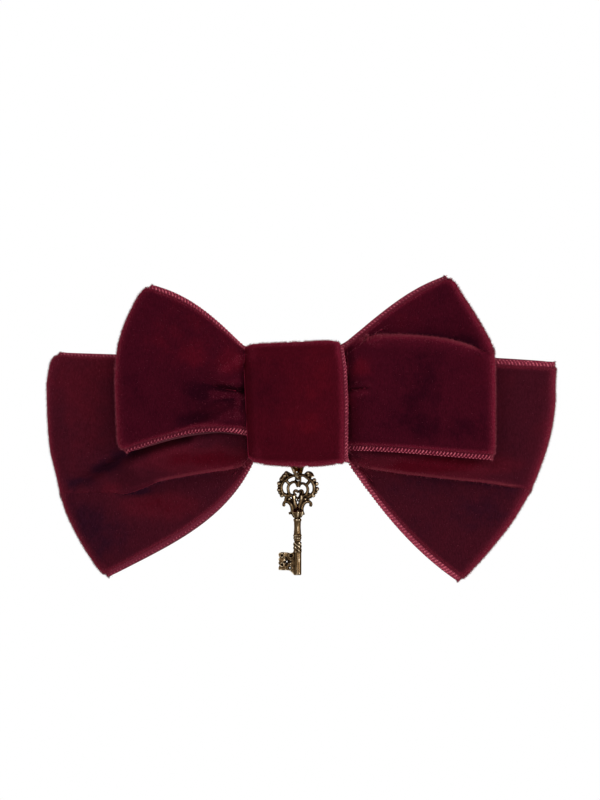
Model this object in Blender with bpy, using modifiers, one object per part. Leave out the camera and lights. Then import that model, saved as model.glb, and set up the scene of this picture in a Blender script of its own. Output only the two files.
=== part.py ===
"""Velvet double-bow barrette with a hanging key, built upright as it is worn.

+X is to the right seen from the front, -Y faces the viewer and +Z is up, in metres.
The origin is the middle of the gap that the clip leaves for the hair.
"""

import math

import bmesh
import bpy
import numpy as np
from mathutils import Matrix, Vector

# Ribbons and thread
FRONT_RIBBON = 0.038
REAR_RIBBON = 0.050
WRAP_RIBBON = 0.0216
VELVET = 0.0010
THREAD = 0.0005
GAP = 0.0003
PIN_PLAY = 0.0001

# The knot: half height of the wrap, half height and depth of each gathered bow inside it
KNOT_HALF = 0.0131
KNOT_CORNER = 0.0035
KNOT_SAG = 0.0005
KNOT_LEAN = 0.045
WRAP_TAIL = 0.0080
GATHER_DEPTH = 0.0040
WINDING_TURNS = 4
WINDING_PITCH = 0.0011

# The clip
HAIR_GAP = 0.0052
CLIP_HALF = 0.040
CLIP_ARCH = 0.0060
PLATE_WIDTH = 0.0080
PLATE = 0.0008
SPRING = 0.0004
SPRING_WIDTH = 0.0040
SPRING_CLEAR = 0.0008
SPRING_INSET = 0.0010
ARM = 0.0009
ARM_WIDTH = 0.0050
PIN = 0.0012
PIN_INSET = 0.0020
PIN_HEAD = 0.0005
KNUCKLE_WALL = 0.0006
EAR = 0.0008
EAR_RIM = 0.0009
FRAME_RIM = 0.0012
FRAME_WIDTH = 0.0080
SLOT_WIDTH = 0.0049
SLOT_LENGTH = 0.0038
CATCH_INSET = 0.0032
CATCH_LAP = 0.0002
CATCH_MARGIN = 0.0007
CATCH_BASE = 0.0006
CATCH_WIDTH = 0.0064
WING = 0.0005
WING_PLAY = 0.0005
WING_BARB = 0.00085
WING_REACH = 0.0026
WING_FLARE = 0.0008
RIVET = 0.0012
RIVET_CAP = 0.0005
RIVET_LIP = 0.0005
RIVET_INSET = 0.0010
SEW_HOLE = 0.0016
SEW_INSET = 0.0130

# The key and its ring; the key's outline is drawn in steps of KEY_STEP
KEY_BEHIND = 0.0017
KEY_DROP = 0.0022
KEY_LENGTH = 0.0218
KEY_STEP = 0.001
KEY_STEM = 0.0008
KEY_BAR = 0.0004
BIT_THICK = 0.0010
BIT_RISE = 0.0048
RING_RADIUS = 0.0023
RING_WIRE = 0.0007
RING_YAW = math.radians(38.0)
RING_CUT = math.radians(7.0)
HANGER = 0.0006
HANGER_HALF = 0.0019
HANGER_RISE = 0.0030

# Derived depths, from the hair gap forward
SPRING_BACK = -HAIR_GAP / 2
SPRING_FRONT = SPRING_BACK - SPRING
TAIL_MID = SPRING_FRONT - SPRING_CLEAR - VELVET / 2
BACK_MID = TAIL_MID - VELVET - GAP
PLATE_BACK = BACK_MID - VELVET / 2 - GAP
PLATE_FRONT = PLATE_BACK - PLATE
WINDING = THREAD + 2 * GAP
REAR_BACK = PLATE_FRONT - WINDING
REAR_FRONT = REAR_BACK - GATHER_DEPTH
FRONT_BACK = REAR_FRONT - 2 * WINDING + GAP
FRONT_FRONT = FRONT_BACK - GATHER_DEPTH
WRAP_FRONT_MID = FRONT_FRONT - WINDING - VELVET / 2
WRAP_HALF = KNOT_HALF - VELVET / 2
GATHER_HALF = KNOT_HALF - VELVET - WINDING - 2 * GAP
ENTRY_HALF = KNOT_HALF - VELVET - 2 * GAP
END_BACK = PLATE_BACK + CLIP_ARCH
ARM_FRONT = HAIR_GAP / 2
ARM_BACK = ARM_FRONT + ARM
PIN_Y = (ARM_FRONT + ARM_BACK) / 2
CATCH_FRONT = END_BACK + GAP
WING_ROOT = CATCH_FRONT + CATCH_BASE + GAP
WING_OUT = SLOT_WIDTH / 2 - GAP - CATCH_LAP / 2
WING_WIDTH = SLOT_LENGTH - 2 * WING_PLAY

# Derived places along the clip, from its ends inward
PIN_X = CLIP_HALF - PIN_INSET
CATCH_X = CLIP_HALF - CATCH_INSET
CATCH_HALF = SLOT_LENGTH / 2 + CATCH_LAP
ARCH_HALF = CATCH_X - CATCH_HALF - CATCH_MARGIN
SPRING_HALF = ARCH_HALF - SPRING_INSET
RIVET_X = -ARCH_HALF - RIVET_INSET
SEW_X = CLIP_HALF - SEW_INSET
EAR_HALF = PIN / 2 + PIN_PLAY + EAR_RIM

# Derived places of the key, from the wrap's underside and its tail
KEY_DEPTH = TAIL_MID + KEY_BEHIND
KEY_TOP = -KNOT_HALF - KEY_DROP
KEY_END = KEY_TOP - KEY_LENGTH

# Each loop of a bow: the middle and lean of its outer fold, the fold's share of the ribbon's width,
# how far the fold bows out and how much more at its top, where the ribbon enters the knot,
# how far its edges bow out near the knot and near the fold, and its main pleat: its place across
# the ribbon at the knot and at its end, its reach and its height
FRONT_RIGHT = {
    "tip": (0.0369, 0.0077), "lean": -14.0, "span": 1.04, "bow": 0.0041, "skew": 0.55,
    "entry": (1.0, -0.92), "top": (0.0014, 0.0020), "bottom": (-0.0004, 0.0),
    "pleat": (0.97, 0.62, 0.85, 0.0016),
}
FRONT_LEFT = {
    "tip": (-0.0350, 0.0071), "lean": 8.7, "span": 0.96, "bow": 0.0034, "skew": 0.5,
    "entry": (0.98, -0.60), "top": (0.0020, 0.0018), "bottom": (-0.0026, -0.0012),
    "pleat": (0.90, 0.75, 0.40, 0.0006),
}
REAR_RIGHT = {
    "tip": (0.0448, -0.0144), "lean": 23.3, "span": 1.02, "bow": 0.0061, "skew": -0.05,
    "entry": (0.95, -1.0), "top": (0.0, 0.0), "bottom": (0.0020, 0.0014),
    "pleat": (0.10, 0.42, 0.80, -0.0010),
}
REAR_LEFT = {
    "tip": (-0.0467, -0.0132), "lean": -14.0, "span": 0.99, "bow": 0.0058, "skew": -0.15,
    "entry": (0.85, -0.98), "top": (0.0, 0.0), "bottom": (0.0058, 0.0014),
    "pleat": (0.08, 0.36, 0.62, -0.0010),
}

# Each bow: its ribbon, gathered front and back faces, fold depth and radius, front and back puff
FRONT_BOW = {
    "ribbon": FRONT_RIBBON, "front": FRONT_FRONT, "back": FRONT_BACK,
    "fold": FRONT_BACK - 0.0012, "radius": 0.0015, "puff": (0.0026, -0.0004),
}
REAR_BOW = {
    "ribbon": REAR_RIBBON, "front": REAR_FRONT, "back": REAR_BACK,
    "fold": REAR_BACK - 0.0012, "radius": 0.0015, "puff": (0.0008, 0.0),
}
PLEAT_RISE = 0.0004
PLEAT_COUNT = 3
FRONT_STEPS = 9
FOLD_STEPS = 5
BACK_STEPS = 6
CENTRE_STEPS = 4
ACROSS = 12

PARTS_NAME = "barrette"

for old in list(bpy.data.objects):
    bpy.data.objects.remove(old)
parts = bpy.data.collections.new(PARTS_NAME)
cutters = bpy.data.collections.new("cutters")
bpy.context.scene.collection.children.link(parts)
bpy.context.scene.collection.children.link(cutters)


def material(name, colour, metallic, roughness):
    made = bpy.data.materials.new(name)
    made.use_nodes = True
    shader = made.node_tree.nodes["Principled BSDF"]
    shader.inputs["Base Color"].default_value = (*colour, 1.0)
    shader.inputs["Metallic"].default_value = metallic
    shader.inputs["Roughness"].default_value = roughness
    return made


VELVET_LOOK = material("wine_velvet", (0.045, 0.004, 0.010), 0.0, 0.85)
WRAP_LOOK = material("wine_velvet_wrap", (0.050, 0.004, 0.010), 0.0, 0.85)
THREAD_LOOK = material("wine_thread", (0.09, 0.01, 0.025), 0.0, 0.7)
BRONZE_LOOK = material("antique_bronze", (0.16, 0.11, 0.07), 1.0, 0.4)
STEEL_LOOK = material("nickel_steel", (0.55, 0.55, 0.54), 1.0, 0.3)


def place(name, mesh, look, collection=parts):
    """A named object with one material, in the collection."""
    made = bpy.data.objects.new(name, mesh)
    mesh.materials.clear()
    mesh.materials.append(look)
    collection.objects.link(made)
    return made


def tidy(mesh, reach=1e-6):
    """Welds doubled points and turns the faces outward."""
    work = bmesh.new()
    work.from_mesh(mesh)
    bmesh.ops.remove_doubles(work, verts=work.verts, dist=reach)
    bmesh.ops.recalc_face_normals(work, faces=work.faces)
    work.to_mesh(mesh)
    work.free()
    return mesh


def baked(made):
    """The object's mesh with its modifiers and its place taken in."""
    bpy.context.view_layer.update()
    graph = bpy.context.evaluated_depsgraph_get()
    mesh = bpy.data.meshes.new_from_object(made.evaluated_get(graph))
    mesh.transform(made.matrix_world)
    bpy.data.objects.remove(made)
    return tidy(mesh)


def outline(points, half, turn=None, holes=()):
    """A flat outline with holes, filled and thickened by half each way."""
    curve = bpy.data.curves.new("outline", "CURVE")
    curve.dimensions = "2D"
    curve.fill_mode = "BOTH"
    curve.extrude = half
    for ring in (points, *holes):
        spline = curve.splines.new("POLY")
        spline.points.add(len(ring) - 1)
        for point, (a, b) in zip(spline.points, ring):
            point.co = (a, b, 0.0, 1.0)
        spline.use_cyclic_u = True
    made = bpy.data.objects.new("outline", curve)
    cutters.objects.link(made)
    if turn is not None:
        made.matrix_world = turn
    return baked(made)


def wire(points, radius, closed=False, resolution=1, smooth=0):
    """A round wire along the points, with filled ends."""
    curve = bpy.data.curves.new("wire", "CURVE")
    curve.dimensions = "3D"
    curve.bevel_depth = radius
    curve.bevel_resolution = resolution
    curve.use_fill_caps = True
    curve.resolution_u = max(smooth, 1)
    spline = curve.splines.new("BEZIER" if smooth else "POLY")
    if smooth:
        spline.bezier_points.add(len(points) - 1)
        for knot, point in zip(spline.bezier_points, points):
            knot.co = point
            knot.handle_left_type = "AUTO"
            knot.handle_right_type = "AUTO"
    else:
        spline.points.add(len(points) - 1)
        for knot, point in zip(spline.points, points):
            knot.co = (*point, 1.0)
    spline.use_cyclic_u = closed
    made = bpy.data.objects.new("wire", curve)
    cutters.objects.link(made)
    return baked(made)


def turned(profile, steps, axis="Z", centre=(0.0, 0.0, 0.0)):
    """A solid of revolution from a profile of (radius, height), top to bottom."""
    mesh = bpy.data.meshes.new("turned")
    rows = [(radius, 0.0, height) for radius, height in profile]
    mesh.from_pydata(rows, [(i, i + 1) for i in range(len(rows) - 1)], [])
    made = bpy.data.objects.new("turned", mesh)
    cutters.objects.link(made)
    screw = made.modifiers.new("screw", "SCREW")
    screw.steps = steps
    screw.render_steps = steps
    screw.use_merge_vertices = True
    screw.merge_threshold = 0.00001
    lay = Matrix.Rotation(math.radians(-90.0), 4, "X") if axis == "Y" else Matrix.Identity(4)
    made.matrix_world = Matrix.Translation(Vector(centre)) @ lay
    return baked(made)


def box(low, high, soften=0.0):
    """A box between two corners, with its edges rounded off."""
    mesh = bpy.data.meshes.new("box")
    work = bmesh.new()
    bmesh.ops.create_cube(work, size=1.0)
    low = Vector(low)
    high = Vector(high)
    for vert in work.verts:
        vert.co = Vector(((low[i] + high[i]) / 2 + vert.co[i] * (high[i] - low[i]) for i in range(3)))
    work.to_mesh(mesh)
    work.free()
    made = bpy.data.objects.new("box", mesh)
    cutters.objects.link(made)
    if soften:
        bevel = made.modifiers.new("bevel", "BEVEL")
        bevel.width = soften
        bevel.segments = 2
    return baked(made)


def joined(name, look, first, steps):
    """The first mesh with the others added or cut away, one exact Boolean each."""
    body = place(name, first, look)
    for kind, mesh in steps:
        tool = place(name + "_tool", mesh, look, cutters)
        tool.display_type = "WIRE"
        tool.hide_render = True
        boolean = body.modifiers.new(kind, "BOOLEAN")
        boolean.operation = kind
        boolean.solver = "EXACT"
        boolean.object = tool
    mesh = baked(body)
    return place(name, mesh, look)


def smooth_step(x):
    x = np.clip(x, 0.0, 1.0)
    return x * x * (3.0 - 2.0 * x)


def bowed_edge(start, end, bulge, outward):
    """A cubic edge between two points, bowed outward near its start and its end."""
    start = np.array(start)
    end = np.array(end)
    along = end - start
    normal = np.array((-along[1], along[0])) / np.linalg.norm(along)
    normal = normal * outward * (1.0 if along[0] > 0 else -1.0)
    near = start + along / 3 + normal * bulge[0] * 1.5
    far = start + along * 2 / 3 + normal * bulge[1] * 1.5

    def at(s):
        s = np.asarray(s)[..., None]
        r = 1.0 - s
        return r ** 3 * start + 3 * r * r * s * near + 3 * r * s * s * far + s ** 3 * end

    return at


def loop_points(loop, bow):
    """Points of one loop [along, across, xyz]: out along the front, round the fold, back behind."""
    side = 1.0 if loop["tip"][0] > 0 else -1.0
    lean = math.radians(loop["lean"])
    up = np.array((math.sin(lean), math.cos(lean)))
    out = np.array((up[1], -up[0])) * side
    tip = np.array(loop["tip"])
    corner_top = tip + up * loop["span"] * bow["ribbon"] / 2
    corner_low = tip - up * loop["span"] * bow["ribbon"] / 2
    mouth = side * (WRAP_RIBBON / 2 + GAP)
    entry_top = loop["entry"][0] * ENTRY_HALF
    entry_low = loop["entry"][1] * ENTRY_HALF
    top = bowed_edge((mouth - KNOT_LEAN * entry_top, entry_top), corner_top, loop["top"], 1.0)
    low = bowed_edge((mouth - KNOT_LEAN * entry_low, entry_low), corner_low, loop["bottom"], -1.0)
    length = float(np.linalg.norm(tip - np.array((mouth, 0.0))))
    across = np.linspace(0.0, 1.0, ACROSS + 1)
    middle = 1.0 - (2.0 * across - 1.0) ** 2
    bulge = middle * (1.0 + loop["skew"] * (2.0 * across - 1.0))
    radius = bow["radius"] * (0.75 + 0.25 * middle)
    front_in = bow["front"] + VELVET / 2 + PLEAT_RISE
    back_in = bow["back"] - VELVET / 2 - PLEAT_RISE
    pleat_knot, pleat_end, reach, height = loop["pleat"]
    gather = PLEAT_RISE * np.cos(2.0 * math.pi * PLEAT_COUNT * across)

    def flat(s):
        s = np.broadcast_to(s, across.shape)
        place_in = low(s) * (1.0 - across)[:, None] + top(s) * across[:, None]
        return place_in + out * (loop["bow"] * s ** 3 * bulge)[:, None]

    def layer(p, inner, outer, puff, pleated):
        s = p * (1.0 - radius / length)
        swell = 6.75 * p * (1.0 - p) ** 2
        depth = inner + (outer - inner) * smooth_step(p) + puff * swell * (0.6 + 0.4 * middle)
        depth = depth + gather * (1.0 - smooth_step(p / 0.5))
        if pleated and p < reach:
            line = pleat_knot + (pleat_end - pleat_knot) * p / reach
            rise = abs(height) * math.sin(math.pi * (p / reach) ** 0.7)
            behind = smooth_step((across - line) * math.copysign(1.0, height) / 0.10 + 0.5)
            depth = depth + rise * behind
        return np.column_stack((flat(s)[:, 0], depth, flat(s)[:, 1]))

    rows = []
    for step in range(FRONT_STEPS):
        rows.append(layer(step / FRONT_STEPS, front_in, bow["fold"] - radius, -bow["puff"][0], True))
    for step in range(FOLD_STEPS + 1):
        angle = math.pi * (step / FOLD_STEPS - 0.5)
        s = 1.0 + (math.cos(angle) - 1.0) * radius / length
        depth = bow["fold"] + radius * math.sin(angle)
        rows.append(np.column_stack((flat(s)[:, 0], depth, flat(s)[:, 1])))
    for step in range(BACK_STEPS - 1, -1, -1):
        rows.append(layer(step / BACK_STEPS, back_in, bow["fold"] + radius, bow["puff"][1], False))
    return rows


def centre_rows(start, end):
    """Rows across the pinched centre between two loops, narrower in the middle."""
    rows = []
    for step in range(1, CENTRE_STEPS):
        share = step / CENTRE_STEPS
        row = start * (1.0 - share) + end * share
        pinch = 4.0 * share * (1.0 - share)
        even = np.linspace(-GATHER_HALF, GATHER_HALF, ACROSS + 1)
        row[:, 2] = row[:, 2] * (1.0 - pinch) + even * pinch
        rows.append(row)
    return rows


def ribbon_bow(name, bow, right, left):
    """One ribbon ring: right loop, back of the centre, left loop, front of the centre."""
    right_rows = loop_points(right, bow)
    left_rows = loop_points(left, bow)[::-1]
    rows = right_rows + centre_rows(right_rows[-1], left_rows[0])
    rows += left_rows + centre_rows(left_rows[-1], right_rows[0])
    points = np.concatenate(rows)
    count = ACROSS + 1
    faces = []
    for i in range(len(rows)):
        j = (i + 1) % len(rows)
        for k in range(ACROSS):
            faces.append((i * count + k, j * count + k, j * count + k + 1, i * count + k + 1))
    mesh = bpy.data.meshes.new(name)
    mesh.from_pydata(points.tolist(), [], faces)
    made = place(name, mesh, VELVET_LOOK, cutters)
    thick = made.modifiers.new("thickness", "SOLIDIFY")
    thick.thickness = VELVET
    thick.offset = 0.0
    mesh = baked(made)
    for face in mesh.polygons:
        face.use_smooth = True
    return place(name, mesh, VELVET_LOOK)


def plate_lift(x, arch, half):
    """How far back an arched strip lies at x, flat beyond its arched half."""
    return arch * min(abs(x) / half, 1.0) ** 2


def corner(centre, radius, start, end, steps):
    """Points round a corner, angles in degrees."""
    angles = [math.radians(start + (end - start) * i / steps) for i in range(steps + 1)]
    return [(centre[0] + radius * math.cos(a), centre[1] + radius * math.sin(a)) for a in angles]


def wrap_path():
    """The wrap's mid-line as (depth, height), from under its tail, over the top and round to the tail."""
    radius = KNOT_CORNER - VELVET / 2
    inside = WRAP_HALF - radius
    front = WRAP_FRONT_MID + radius
    path = [(BACK_MID, -WRAP_TAIL / 2), (BACK_MID, 0.0), (BACK_MID, inside / 2)]
    path += corner((BACK_MID - radius, inside), radius, 0.0, 90.0, 4)
    path += corner((front, inside), radius, 90.0, 180.0, 4)
    path += [(WRAP_FRONT_MID, inside / 2), (WRAP_FRONT_MID, 0.0), (WRAP_FRONT_MID, -inside / 2)]
    path += corner((front, -inside), radius, 180.0, 270.0, 4)
    path += corner((TAIL_MID - radius, -inside), radius, 270.0, 360.0, 4)
    path += [(TAIL_MID, -WRAP_TAIL / 2), (TAIL_MID, 0.0), (TAIL_MID, WRAP_TAIL / 2)]
    return path


def centre_wrap():
    """The narrow ribbon round both bows and the clip's plate, its tail lapped over at the back."""
    path = wrap_path()
    columns = 6
    points = []
    for i in range(columns + 1):
        x = WRAP_RIBBON * (i / columns - 0.5)
        swell = 1.0 - (2.0 * x / WRAP_RIBBON) ** 2
        for depth, height in path:
            back = depth > (WRAP_FRONT_MID + BACK_MID) / 2
            lift = plate_lift(x, CLIP_ARCH, ARCH_HALF) if back else -KNOT_SAG * swell
            sag = KNOT_SAG * swell * max(-height / WRAP_HALF, 0.0)
            points.append((x - KNOT_LEAN * height, depth + lift, height - sag))
    count = len(path)
    faces = []
    for i in range(columns):
        for j in range(count - 1):
            a = i * count + j
            faces.append((a, a + count, a + count + 1, a + 1))
    mesh = bpy.data.meshes.new("centre_wrap")
    mesh.from_pydata(points, [], faces)
    made = place("centre_wrap", mesh, WRAP_LOOK, cutters)
    thick = made.modifiers.new("thickness", "SOLIDIFY")
    thick.thickness = VELVET
    thick.offset = 0.0
    return place("centre_wrap", baked(made), WRAP_LOOK)


def gather_thread(name, front, back):
    """The thread wound round one gathered bow, a few open turns."""
    deep = (back - front) / 2
    tall = GATHER_HALF
    away = GAP + THREAD / 2
    quarter = [(deep + away, 0.0), (deep + away, tall), (deep, tall + away)]
    half = quarter + [(0.0, tall + away)] + [(-y, z) for y, z in reversed(quarter[1:])]
    turn = half + [(-y, -z) for y, z in half]
    count = WINDING_TURNS * len(turn)
    start = -WINDING_PITCH * WINDING_TURNS / 2
    points = []
    for i in range(count + 1):
        y, z = turn[i % len(turn)]
        points.append((start + WINDING_PITCH * i / len(turn), (front + back) / 2 + y, z))
    line = np.array(points)
    apart = np.linalg.norm(line[len(turn):] - line[:-len(turn)], axis=1).min() - THREAD
    print(f"{name}: gap between turns {apart * 1000:.2f} mm")
    return place(name, wire(points, THREAD / 2), THREAD_LOOK)


def strip(half_length, arch, arch_half, front, thick, width, start=None):
    """An arched flat strip of constant thickness along X, its front face at the given depth."""
    first = -half_length if start is None else start
    stations = [first] + [arch_half * i / 8 for i in range(-8, 9)] + [half_length]
    stations = sorted({round(x, 7) for x in stations if first <= x <= half_length})
    front_line = [(x, front + plate_lift(x, arch, arch_half)) for x in stations]
    back_line = [(x, y + thick) for x, y in reversed(front_line)]
    return outline(front_line + back_line, width / 2)


def post(x, y_low, y_high, radius, z=0.0, steps=20):
    """A round post along Y."""
    profile = [(0.0, y_high), (radius, y_high), (radius, y_low), (0.0, y_low)]
    return turned(profile, steps, "Y", (x, 0.0, z))


def cross_post(x, y, half, radius, steps=24):
    """A round post along Z, centred on the clip."""
    profile = [(0.0, half), (radius, half), (radius, -half), (0.0, -half)]
    return turned(profile, steps, "Z", (x, y, 0.0))


def rivet(name, x, low, high):
    """A rivet along Y whose two heads lie outside low and high."""
    head = RIVET / 2 + RIVET_LIP
    dome = head - RIVET_CAP / 2
    top = high + GAP
    bottom = low - GAP
    profile = [
        (0.0, top + RIVET_CAP), (dome, top + RIVET_CAP), (head, top + RIVET_CAP / 2), (head, top),
        (RIVET / 2, top), (RIVET / 2, bottom),
        (head, bottom), (head, bottom - RIVET_CAP / 2), (dome, bottom - RIVET_CAP), (0.0, bottom - RIVET_CAP),
    ]
    return place(name, turned(profile, 20, "Y", (x, 0.0, 0.0)), STEEL_LOOK)


def rounded_plate(half_x, half_z, low, high):
    """A block along Y whose outline seen from the front has round ends."""
    path = corner((half_x - half_z, 0.0), half_z, -90.0, 90.0, 8)
    path += corner((half_z - half_x, 0.0), half_z, 90.0, 270.0, 8)
    turn = Matrix.Translation((0.0, (low + high) / 2, 0.0)) @ Matrix.Rotation(math.radians(90.0), 4, "X")
    return outline(path, (high - low) / 2, turn)


def clip_base_plate():
    """The arched plate with hinge ears, rivet holes and sewing holes."""
    body = strip(CLIP_HALF, CLIP_ARCH, ARCH_HALF, PLATE_FRONT, PLATE, PLATE_WIDTH)
    ear_root = END_BACK - PLATE / 2
    ear_path = corner((-PIN_X, PIN_Y), EAR_HALF, 0.0, 180.0, 8)
    ear_path += [(-PIN_X - EAR_HALF, ear_root), (-PIN_X + EAR_HALF, ear_root)]
    ear_mid = ARM_WIDTH / 2 + GAP + EAR / 2
    low = PLATE_FRONT - PLATE
    high = END_BACK + PLATE
    steps = [("INTERSECT", rounded_plate(CLIP_HALF, PLATE_WIDTH / 2, low, high))]
    for side in (-1.0, 1.0):
        turn = Matrix.Translation((0.0, 0.0, side * ear_mid))
        steps.append(("UNION", outline(ear_path, EAR / 2, turn)))
        steps.append(("DIFFERENCE", post(side * SEW_X, low, high, SEW_HOLE / 2)))
    steps.append(("DIFFERENCE", cross_post(-PIN_X, PIN_Y, PLATE_WIDTH, PIN / 2 + PIN_PLAY)))
    steps.append(("DIFFERENCE", post(RIVET_X, low, high, RIVET / 2 + GAP / 2)))
    steps.append(("DIFFERENCE", post(CATCH_X, low, high, RIVET / 2 + GAP / 2)))
    return joined("clip_base_plate", STEEL_LOOK, body, steps)


def clip_hinge_pin():
    """The headed pin through the ears and the knuckle."""
    outer = ARM_WIDTH / 2 + GAP + EAR + GAP
    head = PIN / 2 + PIN_HEAD
    profile = [
        (0.0, outer + PIN_HEAD), (head, outer + PIN_HEAD), (head, outer), (PIN / 2, outer),
        (PIN / 2, -outer), (head, -outer), (head, -outer - PIN_HEAD), (0.0, -outer - PIN_HEAD),
    ]
    return place("clip_hinge_pin", turned(profile, 24, "Z", (-PIN_X, PIN_Y, 0.0)), STEEL_LOOK)


def clip_tension_spring():
    """The thin strip bowed under the plate, riveted at the hinge end and free at the other."""
    end_front = END_BACK + GAP
    sag = end_front - SPRING_FRONT
    start = RIVET_X - RIVET
    body = strip(SPRING_HALF, sag, SPRING_HALF, SPRING_FRONT, SPRING, SPRING_WIDTH, start)
    hole = post(RIVET_X, SPRING_FRONT, end_front + 2 * SPRING, RIVET / 2 + GAP / 2)
    return joined("clip_tension_spring", STEEL_LOOK, body, [("DIFFERENCE", hole)])


def clasp_arm():
    """The straight arm: a knuckle at the pin, a flat bar and a slotted frame at its free end."""
    half = ARM_WIDTH / 2
    frame_half = SLOT_LENGTH / 2 + FRAME_RIM
    body = box((-PIN_X, ARM_FRONT, -half), (CATCH_X - SLOT_LENGTH / 2 - FRAME_RIM / 2, ARM_BACK, half))
    frame_low = (CATCH_X - frame_half, ARM_FRONT, -FRAME_WIDTH / 2)
    frame_high = (CATCH_X + frame_half, ARM_BACK, FRAME_WIDTH / 2)
    slot_low = (CATCH_X - SLOT_LENGTH / 2, ARM_FRONT - ARM, -SLOT_WIDTH / 2)
    slot_high = (CATCH_X + SLOT_LENGTH / 2, ARM_BACK + ARM, SLOT_WIDTH / 2)
    steps = [
        ("UNION", cross_post(-PIN_X, PIN_Y, half, PIN / 2 + PIN_PLAY + KNUCKLE_WALL)),
        ("UNION", box(frame_low, frame_high)),
        ("DIFFERENCE", box(slot_low, slot_high)),
        ("DIFFERENCE", cross_post(-PIN_X, PIN_Y, ARM_WIDTH, PIN / 2 + PIN_PLAY)),
    ]
    made = joined("clasp_arm", STEEL_LOOK, body, steps)
    made.data.transform(Matrix.Translation((PIN_X, -PIN_Y, 0.0)))
    made.location = (-PIN_X, PIN_Y, 0.0)
    return made


def catch_base():
    """The flat foot of the catch on the plate's free end."""
    low = (CATCH_X - CATCH_HALF, CATCH_FRONT, -CATCH_WIDTH / 2)
    high = (CATCH_X + CATCH_HALF, CATCH_FRONT + CATCH_BASE, CATCH_WIDTH / 2)
    hole = post(CATCH_X, CATCH_FRONT - CATCH_BASE, CATCH_FRONT + 2 * CATCH_BASE, RIVET / 2 + GAP / 2)
    return joined("catch_base", STEEL_LOOK, box(low, high, CATCH_BASE / 6), [("DIFFERENCE", hole)])


def catch_wing(name, side):
    """One prong of the catch, with its barb behind the arm's frame and its finger end."""
    barb = ARM_BACK - WING_ROOT + GAP
    waist = barb + WING_REACH / 2
    tall = barb + WING_REACH
    path = [
        (0.0, -WING), (0.0, 0.0), (barb, 0.0), (barb + GAP / 3, WING_BARB), (waist, WING_BARB / 4),
        (tall - WING, WING_FLARE), (tall, WING_FLARE - WING / 2), (waist, WING_BARB / 8 - WING), (barb, -WING),
    ]
    points = [(a, side * b) for a, b in path]
    stand = Matrix(((0.0, 0.0, 1.0, 0.0), (1.0, 0.0, 0.0, 0.0), (0.0, 1.0, 0.0, 0.0), (0.0, 0.0, 0.0, 1.0)))
    mesh = outline(points, WING_WIDTH / 2, stand)
    made = place(name, mesh, STEEL_LOOK)
    made.location = (CATCH_X, WING_ROOT, side * WING_OUT)
    return made


def ring_direction():
    """The ring's level direction, turned from straight back toward the right."""
    return Vector((math.sin(RING_YAW), math.cos(RING_YAW), 0.0))


def ring_low():
    """Height of the middle of the wire at the ring's lowest point, under the key's top bar."""
    return KEY_TOP - KEY_BAR - GAP - RING_WIRE / 2


def jump_ring():
    """The bent wire ring, cut at one side, with its origin where it hangs."""
    level = ring_direction()
    centre = Vector((0.0, KEY_DEPTH, ring_low() + RING_RADIUS))
    count = 28
    points = []
    for i in range(count + 1):
        angle = RING_CUT / 2 + (2.0 * math.pi - RING_CUT) * i / count
        points.append(centre + level * RING_RADIUS * math.cos(angle) + Vector((0, 0, RING_RADIUS * math.sin(angle))))
    hang = centre + Vector((0.0, 0.0, RING_RADIUS - RING_WIRE / 2 - GAP - HANGER / 2))
    mesh = wire([point - hang for point in points], RING_WIRE / 2, resolution=2)
    made = place("jump_ring", mesh, BRONZE_LOOK)
    made.location = hang
    return made


def charm_thread_loop():
    """The stitched loop on the back of the wrap that the ring hangs on."""
    low = ring_low() + 2 * RING_RADIUS - RING_WIRE / 2 - GAP - HANGER / 2
    wall = TAIL_MID + VELVET / 2 + GAP + HANGER / 2
    half = HANGER_HALF
    rise = HANGER_RISE
    side = [
        (half, wall, low + rise), (half, wall + GAP, low + rise * 0.6),
        (half * 0.85, KEY_DEPTH, low + rise * 0.27), (half * 0.45, KEY_DEPTH, low + rise * 0.03),
    ]
    points = side + [(0.0, KEY_DEPTH, low)] + [(-x, y, z) for x, y, z in reversed(side)]
    return place("charm_thread_loop", wire(points, HANGER / 2, smooth=2), THREAD_LOOK)


def drawn(points, side, base):
    """Points of the key's outline, drawn in steps from its axis and a height, on one side."""
    return [(side * a * KEY_STEP, KEY_DEPTH, base + b * KEY_STEP) for a, b in points]


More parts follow.
